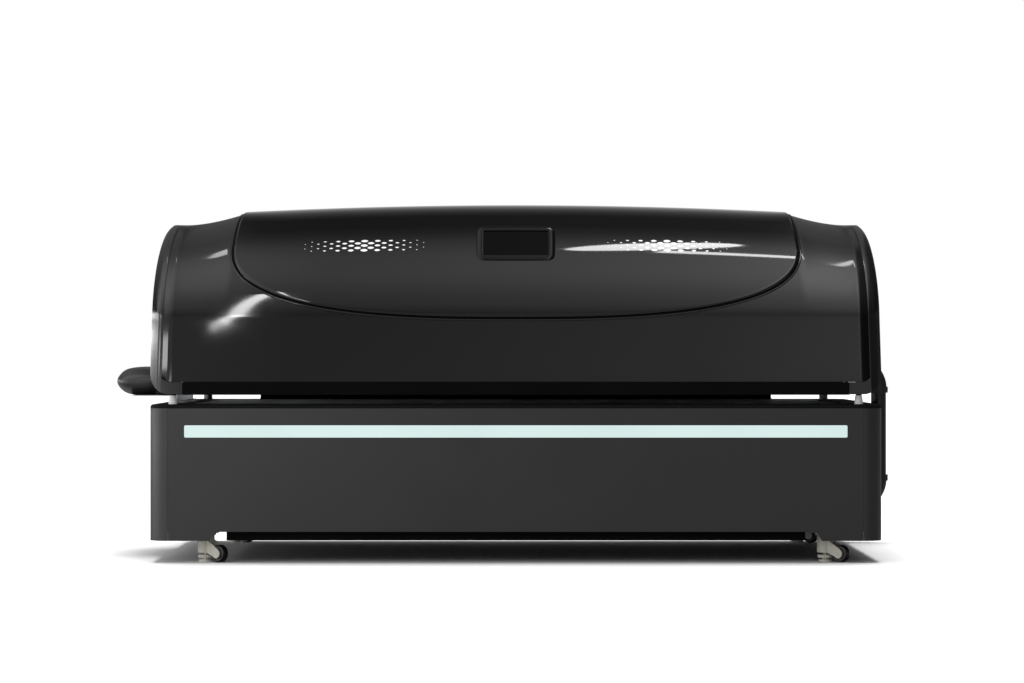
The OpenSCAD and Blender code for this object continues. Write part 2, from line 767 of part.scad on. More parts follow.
// Rubbers on the deck: the buffers that the closed canopy rests on at the front, and an
// angle before the hinges that keeps the light in
bumper_x = end_x - 74;
bumper_y = -half_w + 34;
shield_end = 250;
shield_l = base_l - 2 * shield_end;
shield_foot = 22;
shield_t = 3;
shield_y = hinge_y - leaf_front - 4;
module rest_bumper() {
    cylinder(h = 5, r = 13);
    cylinder(h = canopy_gap - 0.1, r = 9);
}

module light_shield() {
    box(-shield_l / 2, shield_l / 2, shield_y - shield_foot, shield_y, base_top,
        base_top + shield_t);
    box(-shield_l / 2, shield_l / 2, shield_y - shield_t, shield_y, base_top, canopy_z - 1);
}

module deck_rubbers() color("#101010") {
    for (side = [-1, 1]) translate([side * bumper_x, bumper_y, base_top]) rest_bumper();
    light_shield();
}

// A bent steel shelf past the head end carries the neck bolster
shelf_t = 3;
shelf_w = 500;
shelf_foot = 26;
shelf_in = base_l / 2 - 50;
shelf_z = base_top + shelf_rise;

module headrest_shelf() color(steel) {
    difference() {
        union() {
            translate([-(base_l / 2 + shelf_out + shelf_in) / 2, 0, shelf_z]) linear_extrude(shelf_t)
                round_rect(base_l / 2 + shelf_out - shelf_in, shelf_w, 18);
            box(-shelf_in - 20, -shelf_in + shelf_t, -shelf_w / 2, shelf_w / 2, shelf_z,
                shelf_z + shelf_t);
        }
        for (y = [-180, 0, 180]) translate([-shelf_in - 60, y, shelf_z - cut])
            cylinder(h = shelf_t + 2 * cut, r = 9);
    }
    box(-shelf_in, -shelf_in + shelf_t, -shelf_w / 2, shelf_w / 2, base_top, shelf_z + shelf_t);
    box(-shelf_in, -shelf_in + shelf_foot, -shelf_w / 2, shelf_w / 2, base_top,
        base_top + shelf_t);
    for (y = [-180, 0, 180]) translate([-shelf_in + 15, y, base_top + shelf_t])
        cylinder(h = 3.5, r = 5);
}

// Rings of points along an axis become a closed soft solid with a fan at each end
module soft_loft(rings, first, last) {
    n = len(rings[0]);
    m = len(rings);
    points = concat([for (r = rings) each r], [first, last]);
    walls = [for (i = [0:m - 2], j = [0:n - 1])
        let (a = i * n + j, b = i * n + (j + 1) % n)
        each [[a, b, b + n], [a, b + n, a + n]]];
    fans = [for (j = [0:n - 1])
        each [[m * n, (j + 1) % n, j], [m * n + 1, (m - 1) * n + j, (m - 1) * n + (j + 1) % n]]];
    polyhedron(points, concat(walls, fans));
}

// The bolster's section is fullest at the middle, and its sides draw in between the corners
bolster_rings = 24;
bolster_points = 28;
function squircle(a, p) = let (c = cos(a), s = sin(a))
    [sign(c) * pow(abs(c), 2 / p), sign(s) * pow(abs(s), 2 / p)];
function bolster_ring(v, z0) =
    let (end = pow(1 - pow(abs(v), 5), 1 / 2.4), waist = 0.94 + 0.06 * sq(v),
        crown = 0.86 + 0.14 * (1 - sq(v)))
    [for (j = [0:bolster_points - 1])
        let (c = squircle(j * 360 / bolster_points, 2.3), x = c[0] * bolster_d / 2 * waist * end,
            z = bolster_t / 2 + c[1] * bolster_t / 2 * crown * (0.25 + 0.75 * end))
        [x, v * bolster_l / 2, z0 + max(z, 0.08 * bolster_t)]];

module neck_bolster() color("#1f1f20")
    translate([-base_l / 2 - bolster_out + bolster_d / 2, 0, shelf_z + shelf_t + fit]) {
        drop = -0.08 * bolster_t;
        mid = drop + bolster_t / 2;
        rings = [for (i = [0:bolster_rings])
            bolster_ring(sin(-86 + 172 * i / bolster_rings), drop)];
        soft_loft(rings, [0, -bolster_l / 2, mid], [0, bolster_l / 2, mid]);
    }

// A hose for the canopy's leads runs up the foot end, from an elbow on the base to another above
bend_r = 80;
conduit_wall = 4;
elbow_bore = conduit_r - conduit_wall;
elbow_r = elbow_bore + 6;
socket_r = elbow_r + 4;
socket_l = 14;
flange_t = 6;
lap = 6;
step = 0.5;
conduit_low = pan_top + socket_r + 4;
conduit_high = canopy_z + 85;
base_face = base_l / 2;
canopy_face = end_x * leaned(conduit_high);
lean_angle = atan(end_lean / (end_z - canopy_z));

module service_conduit() color("#101011") {
    z0 = conduit_low + bend_r - step + fit;
    z1 = conduit_high - bend_r + step - fit;
    translate([conduit_x, conduit_y, z0]) difference() {
        cylinder(h = z1 - z0, r = conduit_r);
        translate([0, 0, -cut]) cylinder(h = z1 - z0 + 2 * cut, r = conduit_r - conduit_wall);
    }
}

module quarter_bend(r) {
    rotate([90, 0, 0]) rotate([0, 0, -90]) rotate_extrude(angle = 90) translate([bend_r, 0])
        circle(r);
}

// A moulded elbow: its flange's seat is cut to the lean of the face, its socket takes the hose
module elbow(face, lean) {
    run = conduit_x - bend_r - face;
    difference() {
        union() {
            difference() {
                translate([-lap, 0, 0]) rotate([0, 90, 0])
                    cylinder(h = lap + flange_t, r = socket_r + 5);
                rotate([0, -lean, 0]) translate([fit - bend_r, 0, 0])
                    cube(2 * bend_r, center = true);
            }
            translate([flange_t - step, 0, 0]) rotate([0, 90, 0])
                cylinder(h = run + lap - flange_t + step, r = socket_r);
            translate([run, 0, bend_r]) quarter_bend(elbow_r);
            translate([run + bend_r, 0, bend_r - lap]) cylinder(h = lap + socket_l, r = socket_r);
            children();
        }
        translate([-bend_r, 0, 0]) rotate([0, 90, 0])
            cylinder(h = bend_r + run + step, r = elbow_bore - 4);
        translate([run, 0, bend_r]) quarter_bend(elbow_bore);
        translate([run + bend_r, 0, bend_r - step])
            cylinder(h = step + socket_l + cut, r = conduit_r + run_fit);
    }
}

// The lower elbow goes through its panel to a lock nut, and the upper one hangs from its ring
module base_gland() color("#191919") translate([base_face, conduit_y, conduit_low])
    elbow(base_face, 0) {
        translate([-panel_t - 6, 0, 0]) rotate([0, 90, 0])
            cylinder(h = panel_t + 6 + step, r = elbow_bore - fit);
        translate([-panel_t - fit - 8, 0, 0]) rotate([0, 90, 0])
            cylinder(h = 8, r = socket_r, $fn = 6);
    }
module canopy_gland() color("#191919") translate([canopy_face, conduit_y, conduit_high])
    mirror([0, 0, 1]) elbow(canopy_face, -lean_angle);

// The glossy shell: an upright wall, an elliptical arch, and saddles near the end rings
arc_step = 5;
shell_x = ring_x - fit;

function shell_foot(x) =
    let (d = abs(x) - (shell_x - shell_corner_r))
    shell_z + (d <= 0 ? 0 : shell_corner_r - sqrt(max(0, sq(shell_corner_r) - sq(d))));

function arch_angles(foot) = concat([for (k = [0:2]) foot * (1 - k / 3)],
    [for (a = [0:arc_step:180]) a], [for (k = [1:3]) 180 - foot * k / 3]);

shell_half = concat([for (t = [0:4]) shoulder_x * t / 4], [for (t = [1:6]) shoulder_x + t
    * (shell_x - shell_corner_r - shoulder_x) / 6], [for (a = [30:30:90]) shell_x
    - shell_corner_r * (1 - sin(a))]);
shell_stations = concat([for (i = [len(shell_half) - 1:-1:1]) -shell_half[i]], shell_half);

function shell_grid(inset) = [for (x = shell_stations)
    [for (a = arch_angles(foot_angle(shell_foot(x)))) arch_point(x, inset, a)]];

module canopy_shell() color(black_gloss) skin(shell_grid(0), shell_grid(shell_t));

// The raised bonnet, whose outline is straight over the crown and full at the lower corners
bonnet_gap = 3.5;
bonnet_cols = 12;
bonnet_rows = 30;

function bonnet_foot(x) =
    let (u = min(1, abs(x) / bonnet_half_l))
    bonnet_side_rise - (bonnet_side_rise + bonnet_low)
        * pow(1 - pow(u, bonnet_power), 1 / bonnet_power);
function bonnet_angle(x) =
    let (h = bonnet_foot(x)) h < 0 ? h / wall_step : asin(h / rise(x));
function bonnet_grid(inset) = [for (i = [-bonnet_cols:bonnet_cols])
    let (x = bonnet_half_l * sin(90 * i / bonnet_cols), a0 = bonnet_angle(x))
    [for (j = [0:bonnet_rows]) arch_point(x, inset, a0 + (180 - 2 * a0) * j / bonnet_rows)]];

// Places a piece on the bonnet's skin, its z outwards, turned up to face elevation degrees
module on_bonnet(x, a, elevation, roll) {
    p = arch_point(x, -bonnet_h, a);
    translate([x, p[1], p[2]]) rotate([90 - elevation, 0, 0]) rotate([0, roll, 0]) children();
}
vent_elevation = atan2(sin(vent_angle) / rise(vent_x), cos(vent_angle) / half_w);
vent_roll = atan(2 * (arch_rise_mid - arch_rise_shoulder) * vent_x / sq(shoulder_x)
    * sin(vent_angle));
vent_cols = 9;
vent_rows = 5;
grille_l = vent_pitch * (vent_cols + 0.6);
grille_w = vent_row_pitch * (vent_rows - 1) + vent_hole_h + 6;
grille_r = grille_w / 2 - 1;
grille_t = 2.4;
diffuser_t = 2;

module at_vents() {
    for (side = [-1, 1]) on_bonnet(side * vent_x, vent_angle, vent_elevation, side * vent_roll)
        children();
}
module at_display() {
    on_bonnet(0, pod_angle, pod_tilt, 0) children();
}

module bonnet() color(black_gloss) difference() {
    skin(bonnet_grid(-bonnet_h), bonnet_grid(-bonnet_gap));
    at_vents() translate([0, 0, -30]) linear_extrude(60)
        round_rect(grille_l + 2 * fit, grille_w + 2 * fit, grille_r + fit, $fn = 24);
    at_display() translate([0, 0, -40]) linear_extrude(90)
        round_rect(pod_w + 2 * fit, pod_h + 2 * fit, pod_r + fit, $fn = 24);
}

// A lens-shaped hole, smaller towards the ends of its row
module vent_hole(share) {
    polygon([[-vent_hole_w, 0], [-vent_hole_w * 0.4, -vent_hole_h * 0.72],
        [vent_hole_w * 0.4, -vent_hole_h * 0.72], [vent_hole_w, 0],
        [vent_hole_w * 0.4, vent_hole_h * 0.72], [-vent_hole_w * 0.4, vent_hole_h * 0.72]]
        * share / 2);
}

module vent_grilles() color(black_gloss) at_vents() difference() {
    translate([0, 0, -grille_t]) linear_extrude(grille_t) round_rect(grille_l, grille_w, grille_r);
    for (row = [0:vent_rows - 1]) {
        odd = row % 2;
        for (i = [0:vent_cols - 1 + odd]) {
            x = (i - (vent_cols - 1 + odd) / 2) * vent_pitch;
            y = (row - (vent_rows - 1) / 2) * vent_row_pitch;
            share = max(0.22, 1 - 0.85 * abs(x) * 2 / (vent_cols * vent_pitch));
            translate([x, y, -grille_t - cut]) linear_extrude(grille_t + 2 * cut)
                vent_hole(share * 0.92);
        }
    }
}

module grille_diffusers() color("white") at_vents()
    translate([0, 0, -grille_t - diffuser_t - 0.1]) linear_extrude(diffuser_t)
        round_rect(grille_l - 1, grille_w - 1, grille_r - 0.5);

// The display's pod is a wedge: it stands on the shell through the bonnet's opening, and its face
// grows out of the bonnet from its upper edge down
pod_back = bonnet_h - 0.8;
pod_rake = atan2(sin(pod_angle) / (arch_rise_mid + bonnet_h), cos(pod_angle) / (half_w + bonnet_h))
    - pod_tilt;
pod_reach = 40;
pod_ease = 4;
bezel_low = 12;
screen_t = 2.4;
module display_pod() color(black_gloss) at_display() difference() {
    union() {
        translate([0, 0, -pod_reach]) linear_extrude(pod_reach + pod_d - pod_ease)
            round_rect(pod_w, pod_h, pod_r);
        translate([0, 0, pod_d - pod_ease - eps]) linear_extrude(pod_ease)
            round_rect(pod_w - pod_ease, pod_h - pod_ease, pod_r - pod_ease / 2);
    }
    rotate([-pod_rake, 0, 0]) translate([0, 0, -pod_back - pod_reach])
        cube([2 * pod_w, 3 * pod_h, 2 * pod_reach], center = true);
    translate([0, bezel_low / 2, pod_d - screen_t - 0.6]) linear_extrude(pod_reach)
        round_rect(screen_w + 2 * fit, screen_h + 2 * fit, 6);
}

module touch_screen() color("#0b0b0c") at_display()
    translate([0, bezel_low / 2, pod_d - screen_t - 0.5]) linear_extrude(screen_t)
        round_rect(screen_w, screen_h, 6 - fit);

// An end ring: a sleeve round the liner, then a plate out to the skin, its outer edge rounded
sleeve_l = 34;
sleeve_t = 4;
// The seat clears the liner where the sleeve's facets are widest
seat_play = 1.4;
function ring_foot(x) =
    let (d = abs(x) - (end_x - ring_corner_r))
    canopy_z + (d <= 0 ? 0 : ring_corner_r - sqrt(max(0, sq(ring_corner_r) - sq(d))));
function polar(y, z, r) = let (a = atan2(z - tunnel_z, y)) [r * cos(a), tunnel_z + r * sin(a)];
function foot_on(r, foot) = [-sqrt(sq(r) - sq(foot - tunnel_z)), foot];
function ring_inner(x, r) =
    let (foot = ring_foot(x), angles = arch_angles(foot_angle(foot)), last = len(angles) - 1,
        f = foot_on(r, foot))
    [for (j = [0:last]) j == 0 ? f : j == last ? [-f[0], foot]
        : polar(arch_y(0, angles[j]), arch_z(x, 0, angles[j]), r)];
function ring_outer(x, inset) =
    let (foot = ring_foot(x))
    [for (a = arch_angles(foot_angle(foot))) [arch_y(inset, a), arch_z(x, inset, a)]];
function stand(line, x, lean) = [for (p = line) [lean ? x * leaned(p[1]) : x, p[0], p[1]]];
ring_edges = [for (a = [0:22.5:90]) [end_x - ring_edge_r * (1 - sin(a)),
    ring_edge_r * (1 - cos(a))]];

module end_ring(side) color(black_satin) {
    seat = tunnel_r + liner_t + seat_play;
    s0 = ring_x - sleeve_l;
    s1 = ring_x;
    outer = concat([stand(ring_inner(ring_x, seat + sleeve_t), s0, false),
        stand(ring_inner(ring_x, seat + sleeve_t), s1 - 0.1, true),
        stand(ring_outer(ring_x, 0), ring_x, true)],
        [for (e = ring_edges) stand(ring_outer(e[0], e[1]), e[0], true)]);
    inner = concat([stand(ring_inner(ring_x, seat), s0, false),
        stand(ring_inner(ring_x, seat), s1 - 0.1, true),
        stand(ring_inner(ring_x, tunnel_r), ring_x, true)],
        [for (e = ring_edges) stand(ring_inner(e[0], tunnel_r), e[0], true)]);
    mirror([side < 0 ? 1 : 0, 0, 0]) skin(outer, inner);
}
module left_end_ring() end_ring(-1);
module right_end_ring() end_ring(1);

// The lower trim fills up to the shell's foot and its round corners, and closes the cavity
trim_flange = 4;
trim_wall = 4;
module trim_outline() {
    top = shell_z + shell_corner_r;
    x0 = (ring_x - fit) * leaned(canopy_z);
    x1 = (ring_x - fit) * leaned(top);
    corner_x = end_x - ring_corner_r;
    difference() {
        intersection() {
            polygon([[-x0, canopy_z], [x0, canopy_z], [x1, top], [-x1, top]]);
            union() {
                translate([-corner_x, canopy_z]) square([2 * corner_x, ring_corner_r * 2]);
                for (s = [-1, 1]) translate([s * corner_x, canopy_z + ring_corner_r])
                    circle(ring_corner_r);
            }
        }
        flat_x = shell_x - shell_corner_r;
        translate([-flat_x, shell_z - fit]) square([2 * flat_x, 2 * shell_corner_r]);
        for (s = [-1, 1]) translate([s * flat_x, top]) circle(shell_corner_r + fit);
    }
}

module lower_trim(side) {
    y_in = tunnel_r + liner_t + fit;
    translate([0, side < 0 ? -half_w + trim_wall : half_w, 0]) rotate([90, 0, 0])
        linear_extrude(trim_wall) trim_outline();
    x = end_x - ring_corner_r;
    box(-x, x, side < 0 ? -half_w + trim_wall - eps : y_in,
        side < 0 ? -y_in : half_w - trim_wall + eps, canopy_z, canopy_z + trim_flange);
}
module front_trim() color(black_satin) lower_trim(-1);

// A flat rubber seal along the front trim, its lip just below the canopy
seal_end = 105;
seal_l = canopy_l - 2 * seal_end;
seal_t = 2.5;
seal_lip = 1.5;
module front_seal() color("#0c0c0c")
    box(-seal_l / 2, seal_l / 2, -half_w - seal_t, -half_w, canopy_z - seal_lip,
        shell_z - fit);

module rear_trim() color(black_satin) difference() {
    lower_trim(1);
    strut_slots(canopy_z - cut, canopy_z + trim_flange + cut);
}

// Half tubes about the tunnel's axis
module half_tube(l, r0, r1, z0) {
    difference() {
        translate([0, 0, tunnel_z]) rotate([0, 90, 0]) difference() {
            cylinder(h = l, r = r1, center = true, $fn = 96);
            cylinder(h = l + 2 * cut, r = r0, center = true, $fn = 96);
        }
        box(-l, l, -r1 - cut, r1 + cut, tunnel_z - r1 - cut, z0);
    }
}

rib_t = 3;
rib_x = strut_x - 24 - rib_t;
liner_l = 2 * (ring_x * leaned(tunnel_z + tunnel_r) - 3);
module tunnel_liner() color("#dfe8ea", 0.35)
    half_tube(liner_l, tunnel_r, tunnel_r + liner_t, canopy_z);

reflector_l = 2 * (rib_x - 1);
module upper_reflector() color("silver")
    half_tube(reflector_l, reflector_r, reflector_r + tray_t, canopy_z + trim_flange + fit);

upper_cols = 5;
upper_rows = 7;
module upper_led_boards() color("#20452f") {
    pitch = reflector_l / upper_cols;
    span = 168 / upper_rows;
    board_w = 2 * (reflector_r - board_t) * sin(span / 2) - 44;
    radius = sqrt(sq(reflector_r - fit) - sq(board_w / 2));
    for (i = [0:upper_cols - 1], j = [0:upper_rows - 1])
        translate([(i - (upper_cols - 1) / 2) * pitch, 0, tunnel_z])
            rotate([6 + span * (j + 0.5) - 90, 0, 0]) translate([0, 0, radius - board_t])
                linear_extrude(board_t) square([pitch - 16, board_w], center = true);
}

// Arched ribs between the reflector and the shell, joined by angle rails along their feet
rail_side = 28;
rail_t = 3;
rib_seat = shell_t + 1.2;
function rib_place(k) = k * rib_x / 2 - (k > 0 ? 0 : k < 0 ? rib_t : rib_t / 2);
module canopy_frame() color(steel) {
    z0 = canopy_z + trim_flange + fit;
    y1 = half_w - trim_wall - 2;
    for (k = [-2:2]) {
        // The ends lean in, so the shell over a rib is the one from further out at the foot
        skin_x = (abs(k) * rib_x / 2 + rib_t) / leaned(end_z);
        translate([rib_place(k), 0, 0]) rotate([90, 0, 90]) linear_extrude(rib_t) difference() {
            polygon(concat([[-y1, z0]],
                [for (a = [-20:4:200]) [arch_y(rib_seat, a), arch_z(skin_x, rib_seat, a)]],
                [[y1, z0]]));
            translate([0, tunnel_z]) circle(reflector_r + tray_t + fit, $fn = 96);
            for (a = [14, 28, 152, 166]) translate([0, tunnel_z])
                rotate(a) translate([(reflector_r + half_w) / 2 - 2, 0]) circle(18);
        }
    }
    for (k = [-2:1]) {
        x0 = rib_place(k) + rib_t + weld;
        x1 = rib_place(k + 1) - weld;
        for (y = [-y1, y1 - rail_side]) box(x0, x1, y, y + rail_side, z0, z0 + rail_t);
        for (y = [-y1, y1 - rail_t]) box(x0, x1, y, y + rail_t, z0, z0 + rail_side);
    }
}

// Levelling casters: a column with a swivel socket, a forked arm, a wheel and a screw pad
column_r = 25.5;
column_z = 28;
stem_r = 6;
axle_r = 4;
cheek_t = 5;
cheek_gap = 0.8;

module at_caster(x, y) {
    translate([x * caster_x, y * caster_y, 0]) rotate([0, 0, caster_turn]) children();
}

module caster_fork(x, y) color(ivory) at_caster(x, y) {
    inner = wheel_w / 2 + cheek_gap;
    difference() {
        union() {
            translate([0, 0, column_z]) cylinder(h = plate_z - fit - column_z, r = column_r);
            translate([0, 0, plate_z - fit - 7]) cylinder(h = 7, r = column_r + 5);
            for (s = [-1, 1]) translate([0, s > 0 ? inner + cheek_t : -inner, 0])
                rotate([90, 0, 0]) linear_extrude(cheek_t) {
                    polygon([[12, column_z + 2], [trail, wheel_r - 13], [trail + 6, wheel_r + 14],
                        [14, plate_z - 18]]);
                    translate([trail, wheel_r]) circle(14);
                }
        }
        translate([0, 0, plate_z - spigot_h - 1.5])
            cylinder(h = spigot_h + 3, r = spigot_r + run_fit);
        translate([0, 0, column_z - cut]) cylinder(h = 60, r = stem_r + run_fit);
    }
    translate([trail, 0, wheel_r]) rotate([90, 0, 0])
        cylinder(h = 2 * (inner + cheek_t + 1), r = axle_r, center = true);
}

module caster_wheel(x, y) color("#1a1a1a") at_caster(x, y)
    translate([trail, 0, wheel_r]) rotate([90, 0, 0]) rotate_extrude() difference() {
        translate([axle_r + run_fit, -wheel_w / 2])
            square([wheel_r - axle_r - run_fit, wheel_w]);
        for (s = [-1, 1]) {
            translate([axle_r + 6, s * wheel_w / 2 - 2.5]) square([wheel_r - axle_r - 13, 5]);
            translate([wheel_r - 4, s > 0 ? wheel_w / 2 - 4 : -wheel_w / 2]) difference() {
                square(4 + eps);
                translate([0, s > 0 ? 0 : 4]) circle(4);
            }
        }
    }

module leveller(x, y) color(ivory) at_caster(x, y) {
    cylinder(h = 7, r = pad_r);
    cylinder(h = 12, r = stem_r + 4);
    cylinder(h = plate_z - spigot_h - 14, r = stem_r);
    translate([0, 0, 12 - eps]) linear_extrude(9) difference() {
        circle(column_r - 2);
        for (a = [0:20:340]) rotate(a) translate([column_r - 1, 0]) circle(2.6);
    }
}

module caster_fork_front_left() caster_fork(-1, -1);
module caster_fork_front_right() caster_fork(1, -1);
module caster_fork_rear_left() caster_fork(-1, 1);
module caster_fork_rear_right() caster_fork(1, 1);
module caster_wheel_front_left() caster_wheel(-1, -1);
module caster_wheel_front_right() caster_wheel(1, -1);
module caster_wheel_rear_left() caster_wheel(-1, 1);
module caster_wheel_rear_right() caster_wheel(1, 1);
module leveller_front_left() leveller(-1, -1);
module leveller_front_right() leveller(1, -1);
module leveller_rear_left() leveller(-1, 1);
module leveller_rear_right() leveller(1, 1);

base_frame();
front_panel();
rear_panel();
end_panels();
bottom_pan();
top_deck();
light_strip();
strip_led_board();
lying_sheet();
lower_reflector();
lower_led_boards();
power_supplies();
control_box();
fan_frames();
fan_rotor_left();
fan_rotor_right();
mains_inlet();
power_rocker();
base_hinge_leaves();
hinge_pins();
strut_base_brackets();
deck_rubbers();
headrest_shelf();
neck_bolster();
service_conduit();
base_gland();
canopy_shell();
bonnet();
vent_grilles();
grille_diffusers();
display_pod();
touch_screen();
left_end_ring();
right_end_ring();
front_trim();
rear_trim();
front_seal();
tunnel_liner();
upper_reflector();
upper_led_boards();
canopy_frame();
canopy_hinge_leaves();
strut_canopy_brackets();
canopy_gland();
strut_tube_left();
strut_tube_right();
strut_rod_left();
strut_rod_right();
caster_fork_front_left();
caster_fork_front_right();
caster_fork_rear_left();
caster_fork_rear_right();
caster_wheel_front_left();
caster_wheel_front_right();
caster_wheel_rear_left();
caster_wheel_rear_right();
leveller_front_left();
leveller_front_right();
leveller_rear_left();
leveller_rear_right();
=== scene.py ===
"""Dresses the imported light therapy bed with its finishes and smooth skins, on a white stage"""

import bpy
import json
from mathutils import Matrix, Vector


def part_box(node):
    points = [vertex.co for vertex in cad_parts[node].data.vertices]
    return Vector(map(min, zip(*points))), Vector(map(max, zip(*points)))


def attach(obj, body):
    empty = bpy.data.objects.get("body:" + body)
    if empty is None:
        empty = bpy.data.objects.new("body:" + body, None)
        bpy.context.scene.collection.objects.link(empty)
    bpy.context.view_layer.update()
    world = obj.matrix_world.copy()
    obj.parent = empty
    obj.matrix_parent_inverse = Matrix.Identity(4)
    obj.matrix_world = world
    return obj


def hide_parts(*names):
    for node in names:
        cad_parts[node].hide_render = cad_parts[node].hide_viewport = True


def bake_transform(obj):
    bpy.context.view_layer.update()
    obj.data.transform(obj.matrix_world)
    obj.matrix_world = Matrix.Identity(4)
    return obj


bl_info = {
    "name": "Light therapy bed",
    "version": (1, 0, 0),
    "blender": (4, 5, 0),
    "location": "View3D > Sidebar > Light bed",
    "description": "Builds the skins, bonnet, lamps, bolster and finishes of a light therapy bed",
    "category": "Add Mesh",
}

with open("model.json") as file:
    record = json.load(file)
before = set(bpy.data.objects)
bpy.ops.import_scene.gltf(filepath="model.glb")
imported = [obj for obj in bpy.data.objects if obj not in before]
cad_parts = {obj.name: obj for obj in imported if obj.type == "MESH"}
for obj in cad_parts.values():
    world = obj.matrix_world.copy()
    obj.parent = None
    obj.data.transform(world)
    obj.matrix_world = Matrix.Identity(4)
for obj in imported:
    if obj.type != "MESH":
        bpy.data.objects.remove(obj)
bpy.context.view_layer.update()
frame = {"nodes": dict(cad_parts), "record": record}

import json
import math

import bmesh
import bpy
from mathutils import Matrix, Vector

MM = 0.001
# Smooth shading ends at edges sharper than this
SHARP_DEG = 32

# Sizes that the canopy's skins share, in metres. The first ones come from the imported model.
HALF_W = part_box("canopy_shell")[1].y
CANOPY_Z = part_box("front_trim")[0].z
END_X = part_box("right_end_ring")[1].x
END_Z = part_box("right_end_ring")[1].z
SHELL_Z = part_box("canopy_shell")[0].z
RING_W = 38 * MM
RING_X = END_X - RING_W
WALL_H = 233 * MM
WALL_Z = CANOPY_Z + WALL_H
WALL_STEP = 5 * MM
RISE_MID = 350 * MM
RISE_SHOULDER = 328 * MM
RISE_END = 295 * MM
SHOULDER_X = 874 * MM
SADDLE_END = RING_X - 21 * MM
SADDLE_POWER = 1.6
END_LEAN = 17 * MM
# The rings' outer facet, at the crown and beside the walls, and how much of it is flat
RING_EDGE = 12 * MM
RING_FACET = 34 * MM
FLAT = 0.7
# The shell's ends slant in by a depth over a width, after a soft start
ROLL_DEPTH = 13 * MM
ROLL_W = 24 * MM
ROLL_SOFT = 5 * MM
RING_CORNER = 65 * MM
SHELL_CORNER = 30 * MM
SHELL_END = RING_X - 0.3 * MM
# Crowds the columns of the shell's mesh towards its ends
COLUMN_POWER = 1.35
TUNNEL_R = 455 * MM
TUNNEL_Z = CANOPY_Z - 25 * MM
LINER_T = 4 * MM
# The sleeve that the liner slides into: its length, its wall and its play
SLEEVE_L = 34 * MM
SLEEVE_T = 4 * MM
SLEEVE_PLAY = 0.3 * MM
RING_LIP = 6 * MM
BONNET_HALF = 867 * MM
BONNET_H = 8 * MM
BONNET_LOW = 3 * MM
BONNET_SIDE = 219 * MM
BONNET_POWER = 2.65
VENT_X = 465 * MM
VENT_ANGLE = math.radians(38)
VENT_PITCH = 40.4 * MM
VENT_ROW = 11.7 * MM
VENT_ROWS = 5
VENT_COLS = 9
# A hole loses a share of its size towards its row's ends, but keeps the least share, and a
# power draws it in to its tips
VENT_FALL = 0.85
VENT_LEAST = 0.2
VENT_TIP = 0.45
CUTTER_H = 15 * MM
# The light guides' levels from the bonnet's face, and the share of each hole that they fill
GUIDE_Z = (-4 * MM, -0.4 * MM)
GUIDE_FILL = 0.96
LAMP_PITCH = 24 * MM
# A lamp's height, and the radius of its top, in radii
LAMP_H = 1.2
LAMP_TOP = 0.55
# The cover stands out past the bolster's filling
BOLSTER_SWELL = 24 * MM
# How square the cover is in section and in plan, and its half sizes and its flat underside as
# shares of the size
BOLSTER_SECTION = 2.5
BOLSTER_PLAN = 3.4
BOLSTER_HALF = (0.49, 0.494, 0.47)
BOLSTER_FLAT = 0.46
# The cloth's mesh, its last frame and its height over what it rests on
CLOTH_GRID = 6 * MM
CLOTH_FRAMES = 20
CLOTH_REST = 0.3 * MM
# The display's frame: its width and bulge, and how far it lies under the glass, at its inner
# line and at its skirt. Its crest is at a share of the width, and it falls over another share.
POD_W = 20 * MM
POD_BULGE = 7 * MM
POD_SINK = 4 * MM
POD_TUCK = 2 * MM
POD_SKIRT = 35 * MM
POD_CREST = 0.22
POD_FALL = 0.79
SCREEN_R = 6 * MM
# The black plinth behind the toe cut, a dark sheet that paints the shade under the base: its half
# length, its levels, how far it stands behind the front and its thickness
PLINTH_HALF = 868 * MM
PLINTH_Z = (66.5 * MM, 94 * MM)
PLINTH_BACK = 20 * MM
PLINTH_T = 2 * MM
# The front buffers' feet, and the sleeves round their posts
BUFFER_R = 13 * MM
SLEEVE_FOOT_R = 14 * MM
SLEEVE_TOP_R = 10 * MM
SLEEVE_H = 26 * MM
# The rear screws: their rows' distances from the sheet's edges, and the heads' radii
SCREW_SIDE = 18 * MM
SCREW_TOP = 14 * MM
SCREW_FOOT = 44 * MM
SCREW_R = 4.2 * MM
# A head is flattened, and hollowed by a share of its radius within another share of it
SCREW_FLAT = 0.45
SCREW_HOLLOW = 0.16
SCREW_MIDDLE = 0.45
FAN_W = 120 * MM
FAN_INSET = 7 * MM
FAN_SCREW_R = 3.4 * MM
# The hose's wall
HOSE_WALL = 4 * MM
# The camera of the photograph: its place in metres, and its focal length, width and shifts in
# pixels of the photograph
CAMERA_AT = (0, -10.375, 0.640)
CAMERA_LENS = 3273.0
CAMERA_SHIFT = (-3.8, 7.8)
PHOTO_W = 1024
FILM_W = 36


def length(name, description, default, low, high):
    """A size for the panel, given in millimetres"""
    return bpy.props.FloatProperty(name=name, description=description, default=default * MM,
                                   min=low * MM, max=high * MM, unit="LENGTH")


def hex_colour(name, thing, default):
    """A colour for the panel, as hex digits"""
    return bpy.props.StringProperty(name=name, description="Hex colour of " + thing,
                                    default=default)


class LightBedSizes(bpy.types.PropertyGroup):
    """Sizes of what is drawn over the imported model"""

    shell_wall: length("Shell wall", "Thickness of the canopy's shell", 4, 1, 8)
    bonnet_wall: length("Bonnet wall", "Thickness of the raised bonnet", 3, 1, 6)
    bonnet_edge: length("Bonnet edge", "Radius of the bonnet's rolled edge", 7, 2, 7.5)
    bead: length("Bead", "Radius of the bead that frames the bonnet", 3.4, 1, 6)
    seal: length("Seal", "Radius of the rubber seal in the bonnet's groove", 2.6, 1, 4)
    hole_w: length("Vent hole", "Width of the largest vent hole", 23, 8, 30)
    hole_h: length("Vent hole height", "Height of the largest vent hole", 13.4, 4, 15)
    lamp: length("Lamp", "Radius of a lamp's lens", 4, 1, 8)
    cloth_swell: length("Swell", "Most that the bolster's cover may swell", 8, 1, 20)


